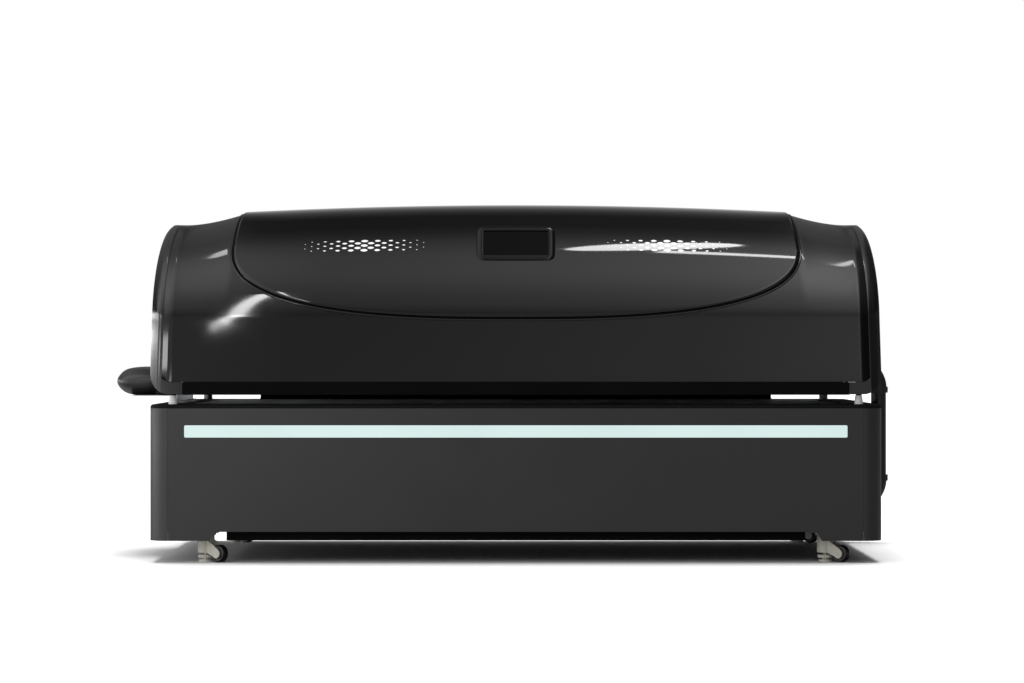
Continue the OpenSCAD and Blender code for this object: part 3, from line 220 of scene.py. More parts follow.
class LightBedColours(bpy.types.PropertyGroup):
    """Colours that a maker offers"""

    paint: hex_colour("Base paint", "the base's satin paint", "#232324")
    gloss: hex_colour("Canopy gloss", "the canopy's gloss sheet", "#0e0e0f")
    trim: hex_colour("Trim", "the rings and trims", "#19191a")
    glow: hex_colour("Strip light", "the lit strip", "#dcf2ef")
    caster: hex_colour("Casters", "the casters' housings", "#c9c6ba")


# Finishes


def linear(text):
    """A hex sRGB colour as linear red, green, blue and alpha"""
    parts = [int(text[i:i + 2], 16) / 255 for i in (1, 3, 5)]
    return [p / 12.92 if p <= 0.04045 else ((p + 0.055) / 1.055) ** 2.4 for p in parts] + [1.0]


def add_node(tree, kind, settings=None, links=None):
    """Adds a node, sets its properties and plain inputs, and links the rest of its inputs"""
    node = tree.nodes.new(kind)
    for key, value in (settings or {}).items():
        if key in node.inputs:
            node.inputs[key].default_value = value
        else:
            setattr(node, key, value)
    for key, socket in (links or {}).items():
        tree.links.new(socket, node.inputs[key])
    return node


def new_material(name, colour, roughness, metallic=0.0, ior=1.5):
    """A material with its plain values on the shader, its tree, shader and object coordinates"""
    material = bpy.data.materials.new(name)
    material.use_nodes = True
    tree = material.node_tree
    shader = tree.nodes["Principled BSDF"]
    shader.inputs["Base Color"].default_value = linear(colour)
    shader.inputs["Roughness"].default_value = roughness
    shader.inputs["Metallic"].default_value = metallic
    shader.inputs["IOR"].default_value = ior
    coords = add_node(tree, "ShaderNodeTexCoord")
    return material, tree, shader, coords.outputs["Object"]


def surface(name, colour, roughness, grain_mm, depth_mm, metallic=0.0, ior=1.5, cloud_mm=160,
            change=0.05, stretch=(1, 1, 1), gleam=0.5):
    """A moulded, painted or drawn surface: fine grain in relief, and slow changes of gloss"""
    material, tree, shader, where = new_material(name, colour, roughness, metallic, ior)
    shader.inputs["Specular IOR Level"].default_value = gleam
    turned = add_node(tree, "ShaderNodeMapping", {"Scale": stretch}, {"Vector": where})
    grain = add_node(tree, "ShaderNodeTexNoise", {"Scale": 1000 / grain_mm, "Detail": 3.0},
                     {"Vector": turned.outputs["Vector"]})
    cloud = add_node(tree, "ShaderNodeTexNoise", {"Scale": 1000 / cloud_mm, "Detail": 2.0},
                     {"Vector": where})
    rough = add_node(tree, "ShaderNodeMapRange",
                     {"From Min": 0.3, "From Max": 0.7, "To Min": max(0.02, roughness - change),
                      "To Max": roughness + change}, {"Value": cloud.outputs["Fac"]})
    deep = linear(colour)
    light = [min(1.0, c * 1.25) for c in deep[:3]] + [1.0]
    shade = add_node(tree, "ShaderNodeMixRGB", {"Color1": deep, "Color2": light},
                     {"Fac": grain.outputs["Fac"]})
    bump = add_node(tree, "ShaderNodeBump", {"Strength": 1.0, "Distance": depth_mm * MM},
                    {"Height": grain.outputs["Fac"]})
    tree.links.new(rough.outputs["Result"], shader.inputs["Roughness"])
    tree.links.new(bump.outputs["Normal"], shader.inputs["Normal"])
    tree.links.new(shade.outputs["Color"], shader.inputs["Base Color"])
    return material


def gloss_sheet(name, colour):
    """Thermoformed gloss ABS: a deep black under a clear skin, with the sheet's slight waves"""
    material, tree, shader, where = new_material(name, colour, 0.05, ior=1.49)
    wave = add_node(tree, "ShaderNodeTexNoise", {"Scale": 1000 / 90, "Detail": 1.0},
                    {"Vector": where})
    peel = add_node(tree, "ShaderNodeTexNoise", {"Scale": 1000 / 7, "Detail": 2.0},
                    {"Vector": where})
    slow = add_node(tree, "ShaderNodeBump", {"Strength": 1.0, "Distance": 0.05 * MM},
                    {"Height": wave.outputs["Fac"]})
    fine = add_node(tree, "ShaderNodeBump", {"Strength": 1.0, "Distance": 0.006 * MM},
                    {"Height": peel.outputs["Fac"], "Normal": slow.outputs["Normal"]})
    rough = add_node(tree, "ShaderNodeMapRange", {"To Min": 0.035, "To Max": 0.075},
                     {"Value": wave.outputs["Fac"]})
    tree.links.new(rough.outputs["Result"], shader.inputs["Roughness"])
    tree.links.new(fine.outputs["Normal"], shader.inputs["Normal"])
    return material


def fine_leather(name, colour):
    """Smooth coated upholstery leather: small flat pebbles with creases between them"""
    material, tree, shader, where = new_material(name, colour, 0.34, ior=1.5)
    cells = add_node(tree, "ShaderNodeTexVoronoi", {"feature": "DISTANCE_TO_EDGE",
                                                    "Scale": 1000 / 2.6}, {"Vector": where})
    crease = add_node(tree, "ShaderNodeMapRange", {"From Min": 0.0, "From Max": 0.16},
                      {"Value": cells.outputs["Distance"]})
    folds = add_node(tree, "ShaderNodeTexNoise", {"Scale": 1000 / 60, "Detail": 3.0},
                     {"Vector": where})
    soft = add_node(tree, "ShaderNodeBump", {"Strength": 1.0, "Distance": 0.9 * MM},
                    {"Height": folds.outputs["Fac"]})
    grain = add_node(tree, "ShaderNodeBump", {"Strength": 0.6, "Distance": 0.12 * MM},
                     {"Height": crease.outputs["Result"], "Normal": soft.outputs["Normal"]})
    rough = add_node(tree, "ShaderNodeMapRange", {"To Min": 0.44, "To Max": 0.27},
                     {"Value": crease.outputs["Result"]})
    tree.links.new(rough.outputs["Result"], shader.inputs["Roughness"])
    tree.links.new(grain.outputs["Normal"], shader.inputs["Normal"])
    return material


def lit_opal(name, colour, strength):
    """Opal acrylic lit from behind, a little brighter and darker in slow clouds"""
    material, tree, shader, where = new_material(name, colour, 0.25, ior=1.49)
    cloud = add_node(tree, "ShaderNodeTexNoise", {"Scale": 1000 / 300, "Detail": 1.0},
                     {"Vector": where})
    level = add_node(tree, "ShaderNodeMapRange",
                     {"From Min": 0.3, "From Max": 0.7, "To Min": strength * 0.97,
                      "To Max": strength * 1.03}, {"Value": cloud.outputs["Fac"]})
    shader.inputs["Base Color"].default_value = (0.02, 0.02, 0.02, 1)
    shader.inputs["Emission Color"].default_value = linear(colour)
    tree.links.new(level.outputs["Result"], shader.inputs["Emission Strength"])
    return material


def clear_acrylic(name, colour, low, high, gleam=0.5):
    """Cast acrylic sheet: it lets light through, and its gloss is uneven where it's wiped"""
    material, tree, shader, where = new_material(name, colour, low, ior=1.49)
    shader.inputs["Transmission Weight"].default_value = 1.0
    shader.inputs["Specular IOR Level"].default_value = gleam
    scuff = add_node(tree, "ShaderNodeTexNoise", {"Scale": 1000 / 140, "Detail": 4.0},
                     {"Vector": where})
    rough = add_node(tree, "ShaderNodeMapRange", {"To Min": low, "To Max": high},
                     {"Value": scuff.outputs["Fac"]})
    tree.links.new(rough.outputs["Result"], shader.inputs["Roughness"])
    return material


def lamp_board(name, colour, track):
    """Solder mask with printed tracks between the lamps"""
    material, tree, shader, where = new_material(name, colour, 0.35)
    bricks = add_node(tree, "ShaderNodeTexBrick",
                      {"Scale": 1.0, "Brick Width": LAMP_PITCH, "Row Height": LAMP_PITCH,
                       "Mortar Size": 0.8 * MM, "Color1": linear(colour),
                       "Color2": linear(colour), "Mortar": linear(track)}, {"Vector": where})
    tree.links.new(bricks.outputs["Color"], shader.inputs["Base Color"])
    return material


def drawn_metal(name, colour, roughness, stretch=(1, 1, 1), grain_mm=0.9, depth_mm=0.012):
    """Bare or plated metal whose fine lines run one way"""
    return surface(name, colour, roughness, grain_mm, depth_mm, metallic=1.0, change=0.08,
                   stretch=stretch, cloud_mm=70)


def make_finishes(colours):
    """Each material slot of the record as a finish by the slot's name, and a few more"""
    return {
        # Polyester powder baked on sheet steel: a low even sheen over fine texture
        "panel_paint": surface("satin_powder_coat", colours.paint, 0.4, 1.6, 0.02),
        "frame_paint": surface("grey_powder_coat", "#6b6f72", 0.5, 1.8, 0.05),
        "zinc_steel": surface("zinc_plated_steel", "#b9bcc0", 0.36, 1.2, 0.02, metallic=1.0),
        "polished_steel": drawn_metal("polished_chrome_steel", "#d6d8da", 0.14),
        "canopy_gloss": gloss_sheet("thermoformed_gloss_abs", colours.gloss),
        # Moulded ABS from a fine satin tool: a clear highlight with a soft edge
        "trim_black": surface("satin_moulded_abs", colours.trim, 0.12, 0.9, 0.002, change=0.02),
        "display_gloss": surface("gloss_moulded_abs", "#0a0a0b", 0.12, 2.0, 0.002, gleam=0.35),
        # The coating keeps reflections off the glass
        "screen_glass": surface("coated_display_glass", "#040405", 0.06, 4.0, 0.001,
                                change=0.02, gleam=0.06),
        "strip_diffuser": lit_opal("lit_opal_acrylic", colours.glow, 0.92),
        "diffuser_white": lit_opal("lit_white_acrylic", "#ffffff", 1.0),
        "clear_acrylic": clear_acrylic("clear_cast_acrylic", "#f4f8f8", 0.02, 0.07),
        # The sheet that the person lies on is matted, greyed and given little gloss, which paints
        # the shade under the canopy onto it
        "matted_shaded_sheet": clear_acrylic("matted_acrylic_painted_shade", "#c4caca", 0.4, 0.5, 0.1),
        # Darker and duller than the deck's own slot, which paints the shade under the canopy onto
        # the top deck
        "shaded_matt_deck": surface("textured_black_abs_painted_shade", "#0b0b0c", 0.75, 0.9, 0.05, gleam=0.12),
        "tray_aluminium": drawn_metal("brightened_aluminium", "#dfe1e3", 0.16,
                                      stretch=(0.05, 1, 1)),
        "board_green": lamp_board("white_solder_mask", "#e6e6e2", "#c6c4ba"),
        "box_steel": drawn_metal("galvanised_sheet", "#a9acae", 0.42, grain_mm=6.0),
        "fan_plastic": surface("glass_filled_black_pbt", "#161617", 0.46, 0.8, 0.03),
        # Black rubber with almost no gloss; on the bottom pan, the toe plinth and the bonnet's seal
        # its black paints shade
        "black_rubber": surface("moulded_black_rubber", "#050505", 0.8, 0.7, 0.05, gleam=0.08),
        "conduit_pvc": surface("smooth_black_pvc_hose", "#0c0c0d", 0.33, 1.5, 0.01),
        "bolster_leather": fine_leather("coated_black_leather", "#29292b"),
        # Glass filled nylon: ivory and slightly mottled, with a soft moulded sheen
        "caster_ivory": surface("ivory_moulded_nylon", colours.caster, 0.42, 0.8, 0.03),
        "buffer_white": surface("white_polyurethane", "#e9ebe8", 0.4, 1.0, 0.01),
        "pod_black": surface("polished_black_abs", "#060607", 0.1, 0.9, 0.002, change=0.02,
                             gleam=0.2),
        "caster_tyre": surface("black_polyurethane_tyre", "#141414", 0.4, 1.0, 0.03),
    }


# Shapes that the pieces share


def rise(x):
    """Height of the arch above the walls, at a place along the bed"""
    a = abs(x)
    if a <= SHOULDER_X:
        return RISE_MID - (RISE_MID - RISE_SHOULDER) * (a / SHOULDER_X) ** 2
    if a >= SADDLE_END:
        return RISE_END
    t = (SADDLE_END - a) / (SADDLE_END - SHOULDER_X)
    return RISE_END + (RISE_SHOULDER - RISE_END) * t ** SADDLE_POWER


def leaned(z):
    """Share of its length that the canopy keeps at a height"""
    return 1 - END_LEAN / END_X * (z - CANOPY_Z) / (END_Z - CANOPY_Z)


def arch_y(inset, a):
    """The arch's place across the bed"""
    return (inset - HALF_W) if a < 0 else (HALF_W - inset) if a > 180 else \
        -(HALF_W - inset) * math.cos(math.radians(a))


def arch_z(x, inset, a):
    """The arch's height, on the upright walls below 0 and past 180 degrees"""
    if a < 0 or a > 180:
        return WALL_Z + (a if a < 0 else 180 - a) * WALL_STEP
    return WALL_Z + (rise(x) - inset) * math.sin(math.radians(a))


def arch_point(x, inset, a):
    """A point of the canopy's skin, a degrees round the arch and inset from the outside"""
    z = arch_z(x, inset, a)
    return Vector((x * leaned(z), arch_y(inset, a), z))


def foot_angle(z):
    """The angle that stands for a height on the upright walls"""
    return (z - WALL_Z) / WALL_STEP


def wall_share(a):
    """One beside the upright walls, and less up the arch to none at its crown"""
    return max(0.0, 1 - max(0.0, min(a, 180 - a)) / 90) ** 1.5


def corner_lift(x, end, radius):
    """Height that a round lower corner adds at a place along the bed"""
    d = min(radius, max(0.0, abs(x) - (end - radius)))
    return radius - math.sqrt(radius * radius - d * d)


def mapped_grid(columns, rows, place):
    """A grid of quads whose every point is where place(u, v) says, u and v from 0 to 1"""
    bm = bmesh.new()
    bmesh.ops.create_grid(bm, x_segments=columns, y_segments=rows, size=0.5)
    for v in bm.verts:
        v.co = place(v.co.x + 0.5, v.co.y + 0.5)
    return bm


def weld(bm, distance):
    """Joins the points that lie together, and turns the faces outwards"""
    bmesh.ops.remove_doubles(bm, verts=bm.verts, dist=distance)
    bmesh.ops.recalc_face_normals(bm, faces=bm.faces)


def face_out(bm, inside):
    """Turns all the faces one way, away from the point inside"""
    bm.normal_update()
    lean = sum(f.normal.dot(f.calc_center_median() - inside(f.calc_center_median()))
               for f in bm.faces)
    if lean < 0:
        bmesh.ops.reverse_faces(bm, faces=bm.faces)


def tunnel_axis(p):
    """The point of the tunnel's axis beside p"""
    return Vector((p.x, 0, TUNNEL_Z))


def place_at(at, x, y, z):
    """The frame with its origin at a point and its axes along three directions"""
    return Matrix.Translation(at) @ Matrix((x, y, z)).transposed().to_4x4()


def add_object(name, data):
    """An object of the data, in the scene"""
    obj = bpy.data.objects.new(name, data)
    bpy.context.scene.collection.objects.link(obj)
    return obj


def node_mesh(node):
    """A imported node's mesh, with the points that lie together joined"""
    bm = bmesh.new()
    bm.from_mesh(frame["nodes"][node].data)
    bmesh.ops.remove_doubles(bm, verts=bm.verts, dist=2e-6)
    return bm


def to_object(bm, name, material, smooth_deg=SHARP_DEG):
    """The mesh as an object at the origin, smooth except at edges sharper than an angle"""
    mesh = bpy.data.meshes.new(name)
    bm.to_mesh(mesh)
    bm.free()
    obj = add_object(name, mesh)
    mesh.materials.append(material)
    mesh.shade_smooth()
    mesh.set_sharp_from_angle(angle=math.radians(smooth_deg))
    return obj


def modify(obj, kind, **settings):
    """Adds a modifier with its settings"""
    modifier = obj.modifiers.new(kind.lower(), kind)
    for key, value in settings.items():
        setattr(modifier, key, value)
    return modifier


def apply_modifiers(obj):
    """Makes what the modifiers give the object's own mesh"""
    evaluated = obj.evaluated_get(bpy.context.evaluated_depsgraph_get())
    mesh = bpy.data.meshes.new_from_object(evaluated)
    old = obj.data
    obj.modifiers.clear()
    obj.data = mesh
    bpy.data.meshes.remove(old)
    mesh.name = obj.name
    return obj


def tube_along(name, points, radius, material, closed=True, sides=10):
    """A round tube whose centre line runs through the points"""
    curve = bpy.data.curves.new(name, "CURVE")
    curve.dimensions = "3D"
    curve.bevel_depth = radius
    curve.bevel_resolution = max(0, sides // 2 - 2)
    curve.use_fill_caps = not closed
    spline = curve.splines.new("POLY")
    spline.points.add(len(points) - 1)
    for target, p in zip(spline.points, points):
        target.co = (*p, 1.0)
    spline.use_cyclic_u = closed
    drawn = add_object(name + ".line", curve)
    mesh = bpy.data.meshes.new_from_object(
        drawn.evaluated_get(bpy.context.evaluated_depsgraph_get()))
    bpy.data.objects.remove(drawn)
    bpy.data.curves.remove(curve)
    bm = bmesh.new()
    bm.from_mesh(mesh)
    bpy.data.meshes.remove(mesh)
    weld(bm, 1e-6)
    return to_object(bm, name, material, smooth_deg=60)


def slot_of(node):
    """The record's material slot of a node"""
    return next(s["material_slot"] for s in frame["record"]["subparts"] if s["node"] == node)


def finish_for(slot):
    """The finish made for a slot"""
    return bpy.data.materials[FINISHES[slot]]


def finish_of(node):
    """The finish of a node's slot"""
    return finish_for(slot_of(node))


def dress(obj, body, *nodes, slot=None):
    """The piece rides on a body and stands for nodes, which it hides"""
    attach(obj, body)
    if nodes:
        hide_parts(*nodes)
        slot or slot_of(nodes[0])
    return obj


def body_of(node):
    """The body that holds a node"""
    return next(b for b, names in frame["record"]["behaviour"]["bodies"].items() if node in names)


FINISHES = {}


class FinishNodes(bpy.types.Operator):
    """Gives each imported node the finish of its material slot"""

    bl_idname = "light_bed.finish_nodes"
    bl_label = "Finish the packed nodes"

    def execute(self, context):
        for slot, material in make_finishes(context.scene.light_bed_colours).items():
            FINISHES[slot] = material.name
        for name, obj in frame["nodes"].items():
            obj.data.materials.clear()
            obj.data.materials.append(finish_of(name))
        return {"FINISHED"}


# Nodes whose edges are broken, with the width of the break in millimetres
EASED_NODES = {
    "front_panel": 1.2, "rear_panel": 0.8, "end_panels": 1.2,
    "touch_screen": 0.5, "front_trim": 1.5, "rear_trim": 1.5,
    "light_strip": 0.8, "deck_rubbers": 0.8, "headrest_shelf": 0.8, "base_hinge_leaves": 0.8,
    "canopy_hinge_leaves": 0.8, "control_box": 2.0, "power_supplies": 0.6,
    "mains_inlet": 0.8, "power_rocker": 0.8, "base_gland": 1.6, "canopy_gland": 1.6,
    "top_deck": 0.8, "front_seal": 0.7, "lying_sheet": 0.8, "bottom_pan": 0.6,
}
# Finishes in place of a node's slot. The deck and the lying sheet, seen at a low angle, are darker
# and duller than their slots, and the bottom pan is black rubber: painted shade under the canopy
# and under the base
MATT_AND_SHADED_FINISHES = {"top_deck": "shaded_matt_deck", "lying_sheet": "matted_shaded_sheet", "bottom_pan": "black_rubber"}
CASTER_CORNERS = ("front_left", "front_right", "rear_left", "rear_right")
EASED_NODES.update({f"caster_fork_{c}": 1.6 for c in CASTER_CORNERS})
EASED_NODES.update({f"leveller_{c}": 1.2 for c in CASTER_CORNERS})


class EaseEdges(bpy.types.Operator):
    """Copies the plain nodes with their edges broken, as a moulding or a folded sheet has them"""

    bl_idname = "light_bed.ease_edges"
    bl_label = "Ease the edges"

    def execute(self, context):
        for node, width in EASED_NODES.items():
            bm = node_mesh(node)
            bmesh.ops.dissolve_limit(bm, angle_limit=math.radians(0.5), verts=bm.verts,
                                     edges=bm.edges)
            # Some nodes take a darker finish than their slot, which paints shade under the canopy
            # and under the base
            obj = to_object(bm, node + ".eased", finish_for(MATT_AND_SHADED_FINISHES.get(node, slot_of(node))))
            modify(obj, "BEVEL", width=width * MM, segments=3, limit_method="ANGLE",
                   angle_limit=math.radians(SHARP_DEG), harden_normals=True, use_clamp_overlap=True)
            dress(obj, body_of(node), node)
        return {"FINISHED"}


class CanopyShell(bpy.types.Operator):
    """The canopy's gloss shell: upright walls, an arch, and a saddle and a slant at each end"""

    bl_idname = "light_bed.canopy_shell"
    bl_label = "Canopy shell"

    def execute(self, context):
        def place(u, v):
            s = 2 * u - 1
            x = SHELL_END * math.copysign(1 - (1 - abs(s)) ** COLUMN_POWER, s)
            foot = foot_angle(SHELL_Z + corner_lift(x, SHELL_END, SHELL_CORNER))
            a = foot + v * (180 - 2 * foot)
            # The ends slant in towards the rings beside the walls, and less and less above
            d = max(0.0, abs(x) - (SHELL_END - ROLL_W))
            slant = ROLL_DEPTH * d * d * (ROLL_W + ROLL_SOFT) / (d + ROLL_SOFT) / ROLL_W ** 2
            return arch_point(x, slant * wall_share(a), a)

        bm = mapped_grid(190, 120, place)
        face_out(bm, tunnel_axis)
        obj = to_object(bm, "canopy_shell.skin", finish_of("canopy_shell"))
        modify(obj, "SOLIDIFY", thickness=context.scene.light_bed_sizes.shell_wall, offset=-1.0)
        modify(obj, "BEVEL", width=1.2 * MM, segments=2, limit_method="ANGLE",
               angle_limit=math.radians(50), harden_normals=True)
        dress(obj, "canopy", "canopy_shell")
        return {"FINISHED"}


def bonnet_place(edge):
    """Places points on the bonnet's face, which ends an edge's width inside its outline"""
    half = BONNET_HALF - edge
    low = BONNET_LOW - edge

    def place(u, v):
        s = 2 * u - 1
        x = half * math.sin(math.pi / 2 * s)
        reach = min(1.0, abs(x) / half)
        foot = BONNET_SIDE - (BONNET_SIDE + low) * (1 - reach ** BONNET_POWER) ** (
            1 / BONNET_POWER)
        a0 = foot / WALL_STEP if foot < 0 else math.degrees(math.asin(foot / rise(x)))
        return arch_point(x, -BONNET_H, a0 + (180 - 2 * a0) * v)

    return place


def border(bm):
    """The open edge's points in order, each with its outward and skin directions"""
    edges = [e for e in bm.edges if e.is_boundary]
    first = edges[0].verts[0]
    order, last, here = [first], None, first
    while True:
        step = next(e.other_vert(here) for e in here.link_edges
                    if e.is_boundary and e.other_vert(here) is not last)
        if step is first:
            break
        order.append(step)
        last, here = here, step
    found = []
    for i, v in enumerate(order):
        along = (order[(i + 1) % len(order)].co - order[i - 1].co).normalized()
        out = along.cross(v.normal).normalized()
        middle = sum((f.calc_center_median() for f in v.link_faces), Vector()) / len(v.link_faces)
        found.append((v, out if out.dot(v.co - middle) > 0 else -out, v.normal.copy()))
    return edges, found


def grow(bm, edges):
    """Extrudes a line of edges, and returns the new points and the new line"""
    made = bmesh.ops.extrude_edge_only(bm, edges=edges)["geom"]
    fresh = [g for g in made if isinstance(g, bmesh.types.BMVert)]
    return fresh, [g for g in made if isinstance(g, bmesh.types.BMEdge)
                   and all(v in fresh for v in g.verts)]


def roll_border(bm, radius, steps):
    """Rolls the open edge over and down by a quarter turn, and returns its last line"""
    bm.normal_update()
    edges, line = border(bm)
    base = {v: (v.co.copy(), out, up) for v, out, up in line}
    source = {v: v for v, _, _ in line}
    for k in range(1, steps + 1):
        turn = math.pi / 2 * k / steps
        fresh, edges = grow(bm, edges)
        parent = {}
        for v in fresh:
            root = next(source[e.other_vert(v)] for e in v.link_edges
                        if e.other_vert(v) in source)
            parent[v] = root
            at, out, up = base[root]
            v.co = at + out * (radius * math.sin(turn)) - up * (radius * (1 - math.cos(turn)))
        source = parent
    return [(at, out, up) for at, out, up in base.values()]


def skin_frame(x, inset, a):
    """A place on the canopy's skin: its x along the bed, y up the arch and z outwards"""
    at = arch_point(x, inset, a)
    along = (arch_point(x + 1 * MM, inset, a) - at).normalized()
    out = along.cross(arch_point(x, inset, a + 0.1) - at).normalized()
    return place_at(at, along, out.cross(along), out)


def vent_holes(sizes):
    """The place, width and height of each vent hole, smaller towards its row's ends"""
    per_degree = math.radians(1) * math.hypot(HALF_W * math.sin(VENT_ANGLE),
                                              RISE_MID * math.cos(VENT_ANGLE))
    for side in (-1, 1):
        for row in range(VENT_ROWS):
            count = VENT_COLS + row % 2
            up = (row - (VENT_ROWS - 1) / 2) * VENT_ROW
            for i in range(count):
                x = (i - (count - 1) / 2) * VENT_PITCH
                share = max(VENT_LEAST, 1 - VENT_FALL * abs(x) * 2 / (VENT_COLS * VENT_PITCH))
                place = skin_frame(side * VENT_X + x, -BONNET_H,
                                   math.degrees(VENT_ANGLE) + up / per_degree)
                yield place, sizes.hole_w * share, sizes.hole_h * share


def lens_prisms(sizes, low, high, share):
    """One mesh of lens-shaped prisms at the vent holes, from a low to a high level"""
    bm = bmesh.new()
    for place, width, height in vent_holes(sizes):
        circle = bmesh.ops.create_circle(bm, cap_ends=True, segments=14, radius=0.5)["verts"]
        for v in circle:
            # Drawn in towards the tips, as a lens is
            tall = v.co.y * abs(2 * v.co.y) ** VENT_TIP * height * share
            v.co = Vector((v.co.x * width * share, tall, low))
        made = bmesh.ops.extrude_face_region(bm, geom=[circle[0].link_faces[0]])["geom"]
        top = [g for g in made if isinstance(g, bmesh.types.BMVert)]
        bmesh.ops.translate(bm, verts=top, vec=(0, 0, high - low))
        bmesh.ops.transform(bm, matrix=place, verts=circle + top)
    bmesh.ops.recalc_face_normals(bm, faces=bm.faces)
    return bm


class Bonnet(bpy.types.Operator):
    """The raised bonnet with its rolled edge, lens-shaped vents, a seal whose black paints the
    groove's shade, a bead and lit diffusers
    """

    bl_idname = "light_bed.bonnet"
    bl_label = "Bonnet and vents"

    def execute(self, context):
        sizes = context.scene.light_bed_sizes
        gloss = finish_of("bonnet")
        bm = mapped_grid(150, 130, bonnet_place(sizes.bonnet_edge))
        face_out(bm, tunnel_axis)
        line = roll_border(bm, sizes.bonnet_edge, 6)
        obj = to_object(bm, "bonnet.skin", gloss)
        modify(obj, "SOLIDIFY", thickness=sizes.bonnet_wall, offset=-1.0)
        cutters = to_object(lens_prisms(sizes, -CUTTER_H, CUTTER_H, 1), "vent_cutters", gloss)
        modify(obj, "BOOLEAN", object=cutters, operation="DIFFERENCE", solver="EXACT")
        apply_modifiers(obj)
        obj.data.set_sharp_from_angle(angle=math.radians(SHARP_DEG))
        bpy.data.objects.remove(cutters)
        dress(obj, "canopy", "bonnet", "vent_grilles")

        # How far each tube's centre lies outside the rolled edge and below the bonnet's face
        for name, outside, below, radius, slot, sides in (
                # The seal's matt black rubber fills the groove round the bonnet and paints the
                # shade in it
                ("seal", 2.0 * MM, BONNET_H - 0.4 * MM, sizes.seal, "black_rubber", 8),
                ("bead", 7.2 * MM, BONNET_H + 0.6 * MM, sizes.bead, "canopy_gloss", 12)):
            path = [at + out * (sizes.bonnet_edge + outside) - up * below for at, out, up in line]
            tube = tube_along("bonnet." + name, path, radius, finish_for(slot), sides=sides)
            dress(tube, "canopy", slot=slot)

        # Opal light guides fill the holes to just below the surface
        guides = to_object(lens_prisms(sizes, *GUIDE_Z, GUIDE_FILL), "vent_light_guides",
                           finish_of("grille_diffusers"))
        dress(guides, "canopy", "grille_diffusers")
        return {"FINISHED"}


def screen_place():
    """The screen's frame, x along the bed and z out of the glass, with its half sizes"""
    corners = [v.co.copy() for v in frame["nodes"]["touch_screen"].data.vertices]
    low_y = min(corners, key=lambda p: (round(p.y, 5), -p.z))
    high_z = max(corners, key=lambda p: (round(p.z, 5), -p.y))
    up = Vector((0, high_z.y - low_y.y, high_z.z - low_y.z)).normalized()
    out = Vector((1, 0, 0)).cross(up)
    centre = sum(corners, Vector()) / len(corners)
    level = max((p - centre).dot(out) for p in corners)
    centre += out * level
    half_w = max(p.x for p in corners)
    half_h = max((p - centre).dot(up) for p in corners)
    return place_at(centre, Vector((1, 0, 0)), up, out), half_w, half_h


class DisplayPod(bpy.types.Operator):
    """The display's moulded frame, which bulges round the glass and sinks into the bonnet"""

    bl_idname = "light_bed.display_pod"
    bl_label = "Display pod"

    def execute(self, context):
        at, half_w, half_h = screen_place()
        # Points round the outline, and lines from the glass over the bulge to the skirt
        sides, lines = 72, 14

        def outline(u, grown):
            """A point of the screen's rounded outline, grown outwards"""
            turn = 2 * math.pi * (u + 0.5 / sides)
            p = Vector((math.cos(turn), math.sin(turn)))
            radius = SCREEN_R + grown
            corner = Vector((half_w - SCREEN_R, half_h - SCREEN_R))
            return Vector([math.copysign(c, q) * min(1.0, 3 * abs(q)) + radius * q
                           for c, q in zip(corner, p)])

        def place(u, v):
            step = round(v * lines)
            if step == 0:
                grown, height = 0.0, -POD_TUCK
            elif step == lines:
                grown, height = POD_W, -POD_SKIRT
            else:
                share = (step - 1) / (lines - 2)
                grown = POD_W * share
                height = POD_BULGE * math.sqrt(1 - ((share - POD_CREST) / POD_FALL) ** 2)
                height -= POD_SINK
            flat = outline(u, grown)
            return at @ Vector((flat.x, flat.y, height))

        bm = mapped_grid(sides, lines, place)
        weld(bm, 1e-5)
        out = at.to_3x3() @ Vector((0, 0, 1))
        if sum(f.normal.dot(out) * f.calc_area() for f in bm.faces) < 0:
            bmesh.ops.reverse_faces(bm, faces=bm.faces)
        obj = to_object(bm, "display_pod.frame", finish_for("pod_black"), 50)
        dress(obj, "canopy", "display_pod")
        return {"FINISHED"}


class BaseTrims(bpy.types.Operator):
    """The black plinth behind the toe cut, a dark sheet that paints the shade under the base, and
    the white sleeves of the front buffers
    """

    bl_idname = "light_bed.base_trims"
    bl_label = "Plinth and buffer sleeves"

    def execute(self, context):
        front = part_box("front_panel")[0].y
        bm = bmesh.new()
        bmesh.ops.create_cube(bm, size=1.0)
        size = Vector((2 * PLINTH_HALF, PLINTH_T, PLINTH_Z[1] - PLINTH_Z[0]))
        bmesh.ops.scale(bm, vec=size, verts=bm.verts)
        bmesh.ops.translate(bm, verts=bm.verts, vec=(0, front + PLINTH_BACK, sum(PLINTH_Z) / 2))
        # A black sheet that hides the floor under the base and paints its shade
        obj = to_object(bm, "toe_plinth_painted_shade", finish_for("black_rubber"))
        modify(obj, "BEVEL", width=0.5 * MM, segments=2, limit_method="ANGLE")
        dress(obj, "base", slot="black_rubber")

        low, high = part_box("deck_rubbers")
        bm = bmesh.new()
        for x in (low.x + BUFFER_R, high.x - BUFFER_R):
            made = bmesh.ops.create_cone(bm, cap_ends=True, segments=24, radius1=SLEEVE_FOOT_R,
                                         radius2=SLEEVE_TOP_R, depth=SLEEVE_H)["verts"]
            middle = low.z + SLEEVE_H / 2 + 0.5 * MM
            bmesh.ops.translate(bm, verts=made, vec=(x, low.y + BUFFER_R, middle))
        obj = to_object(bm, "buffer_sleeves", finish_for("buffer_white"), 50)
        dress(obj, "base", slot="black_rubber")
        return {"FINISHED"}


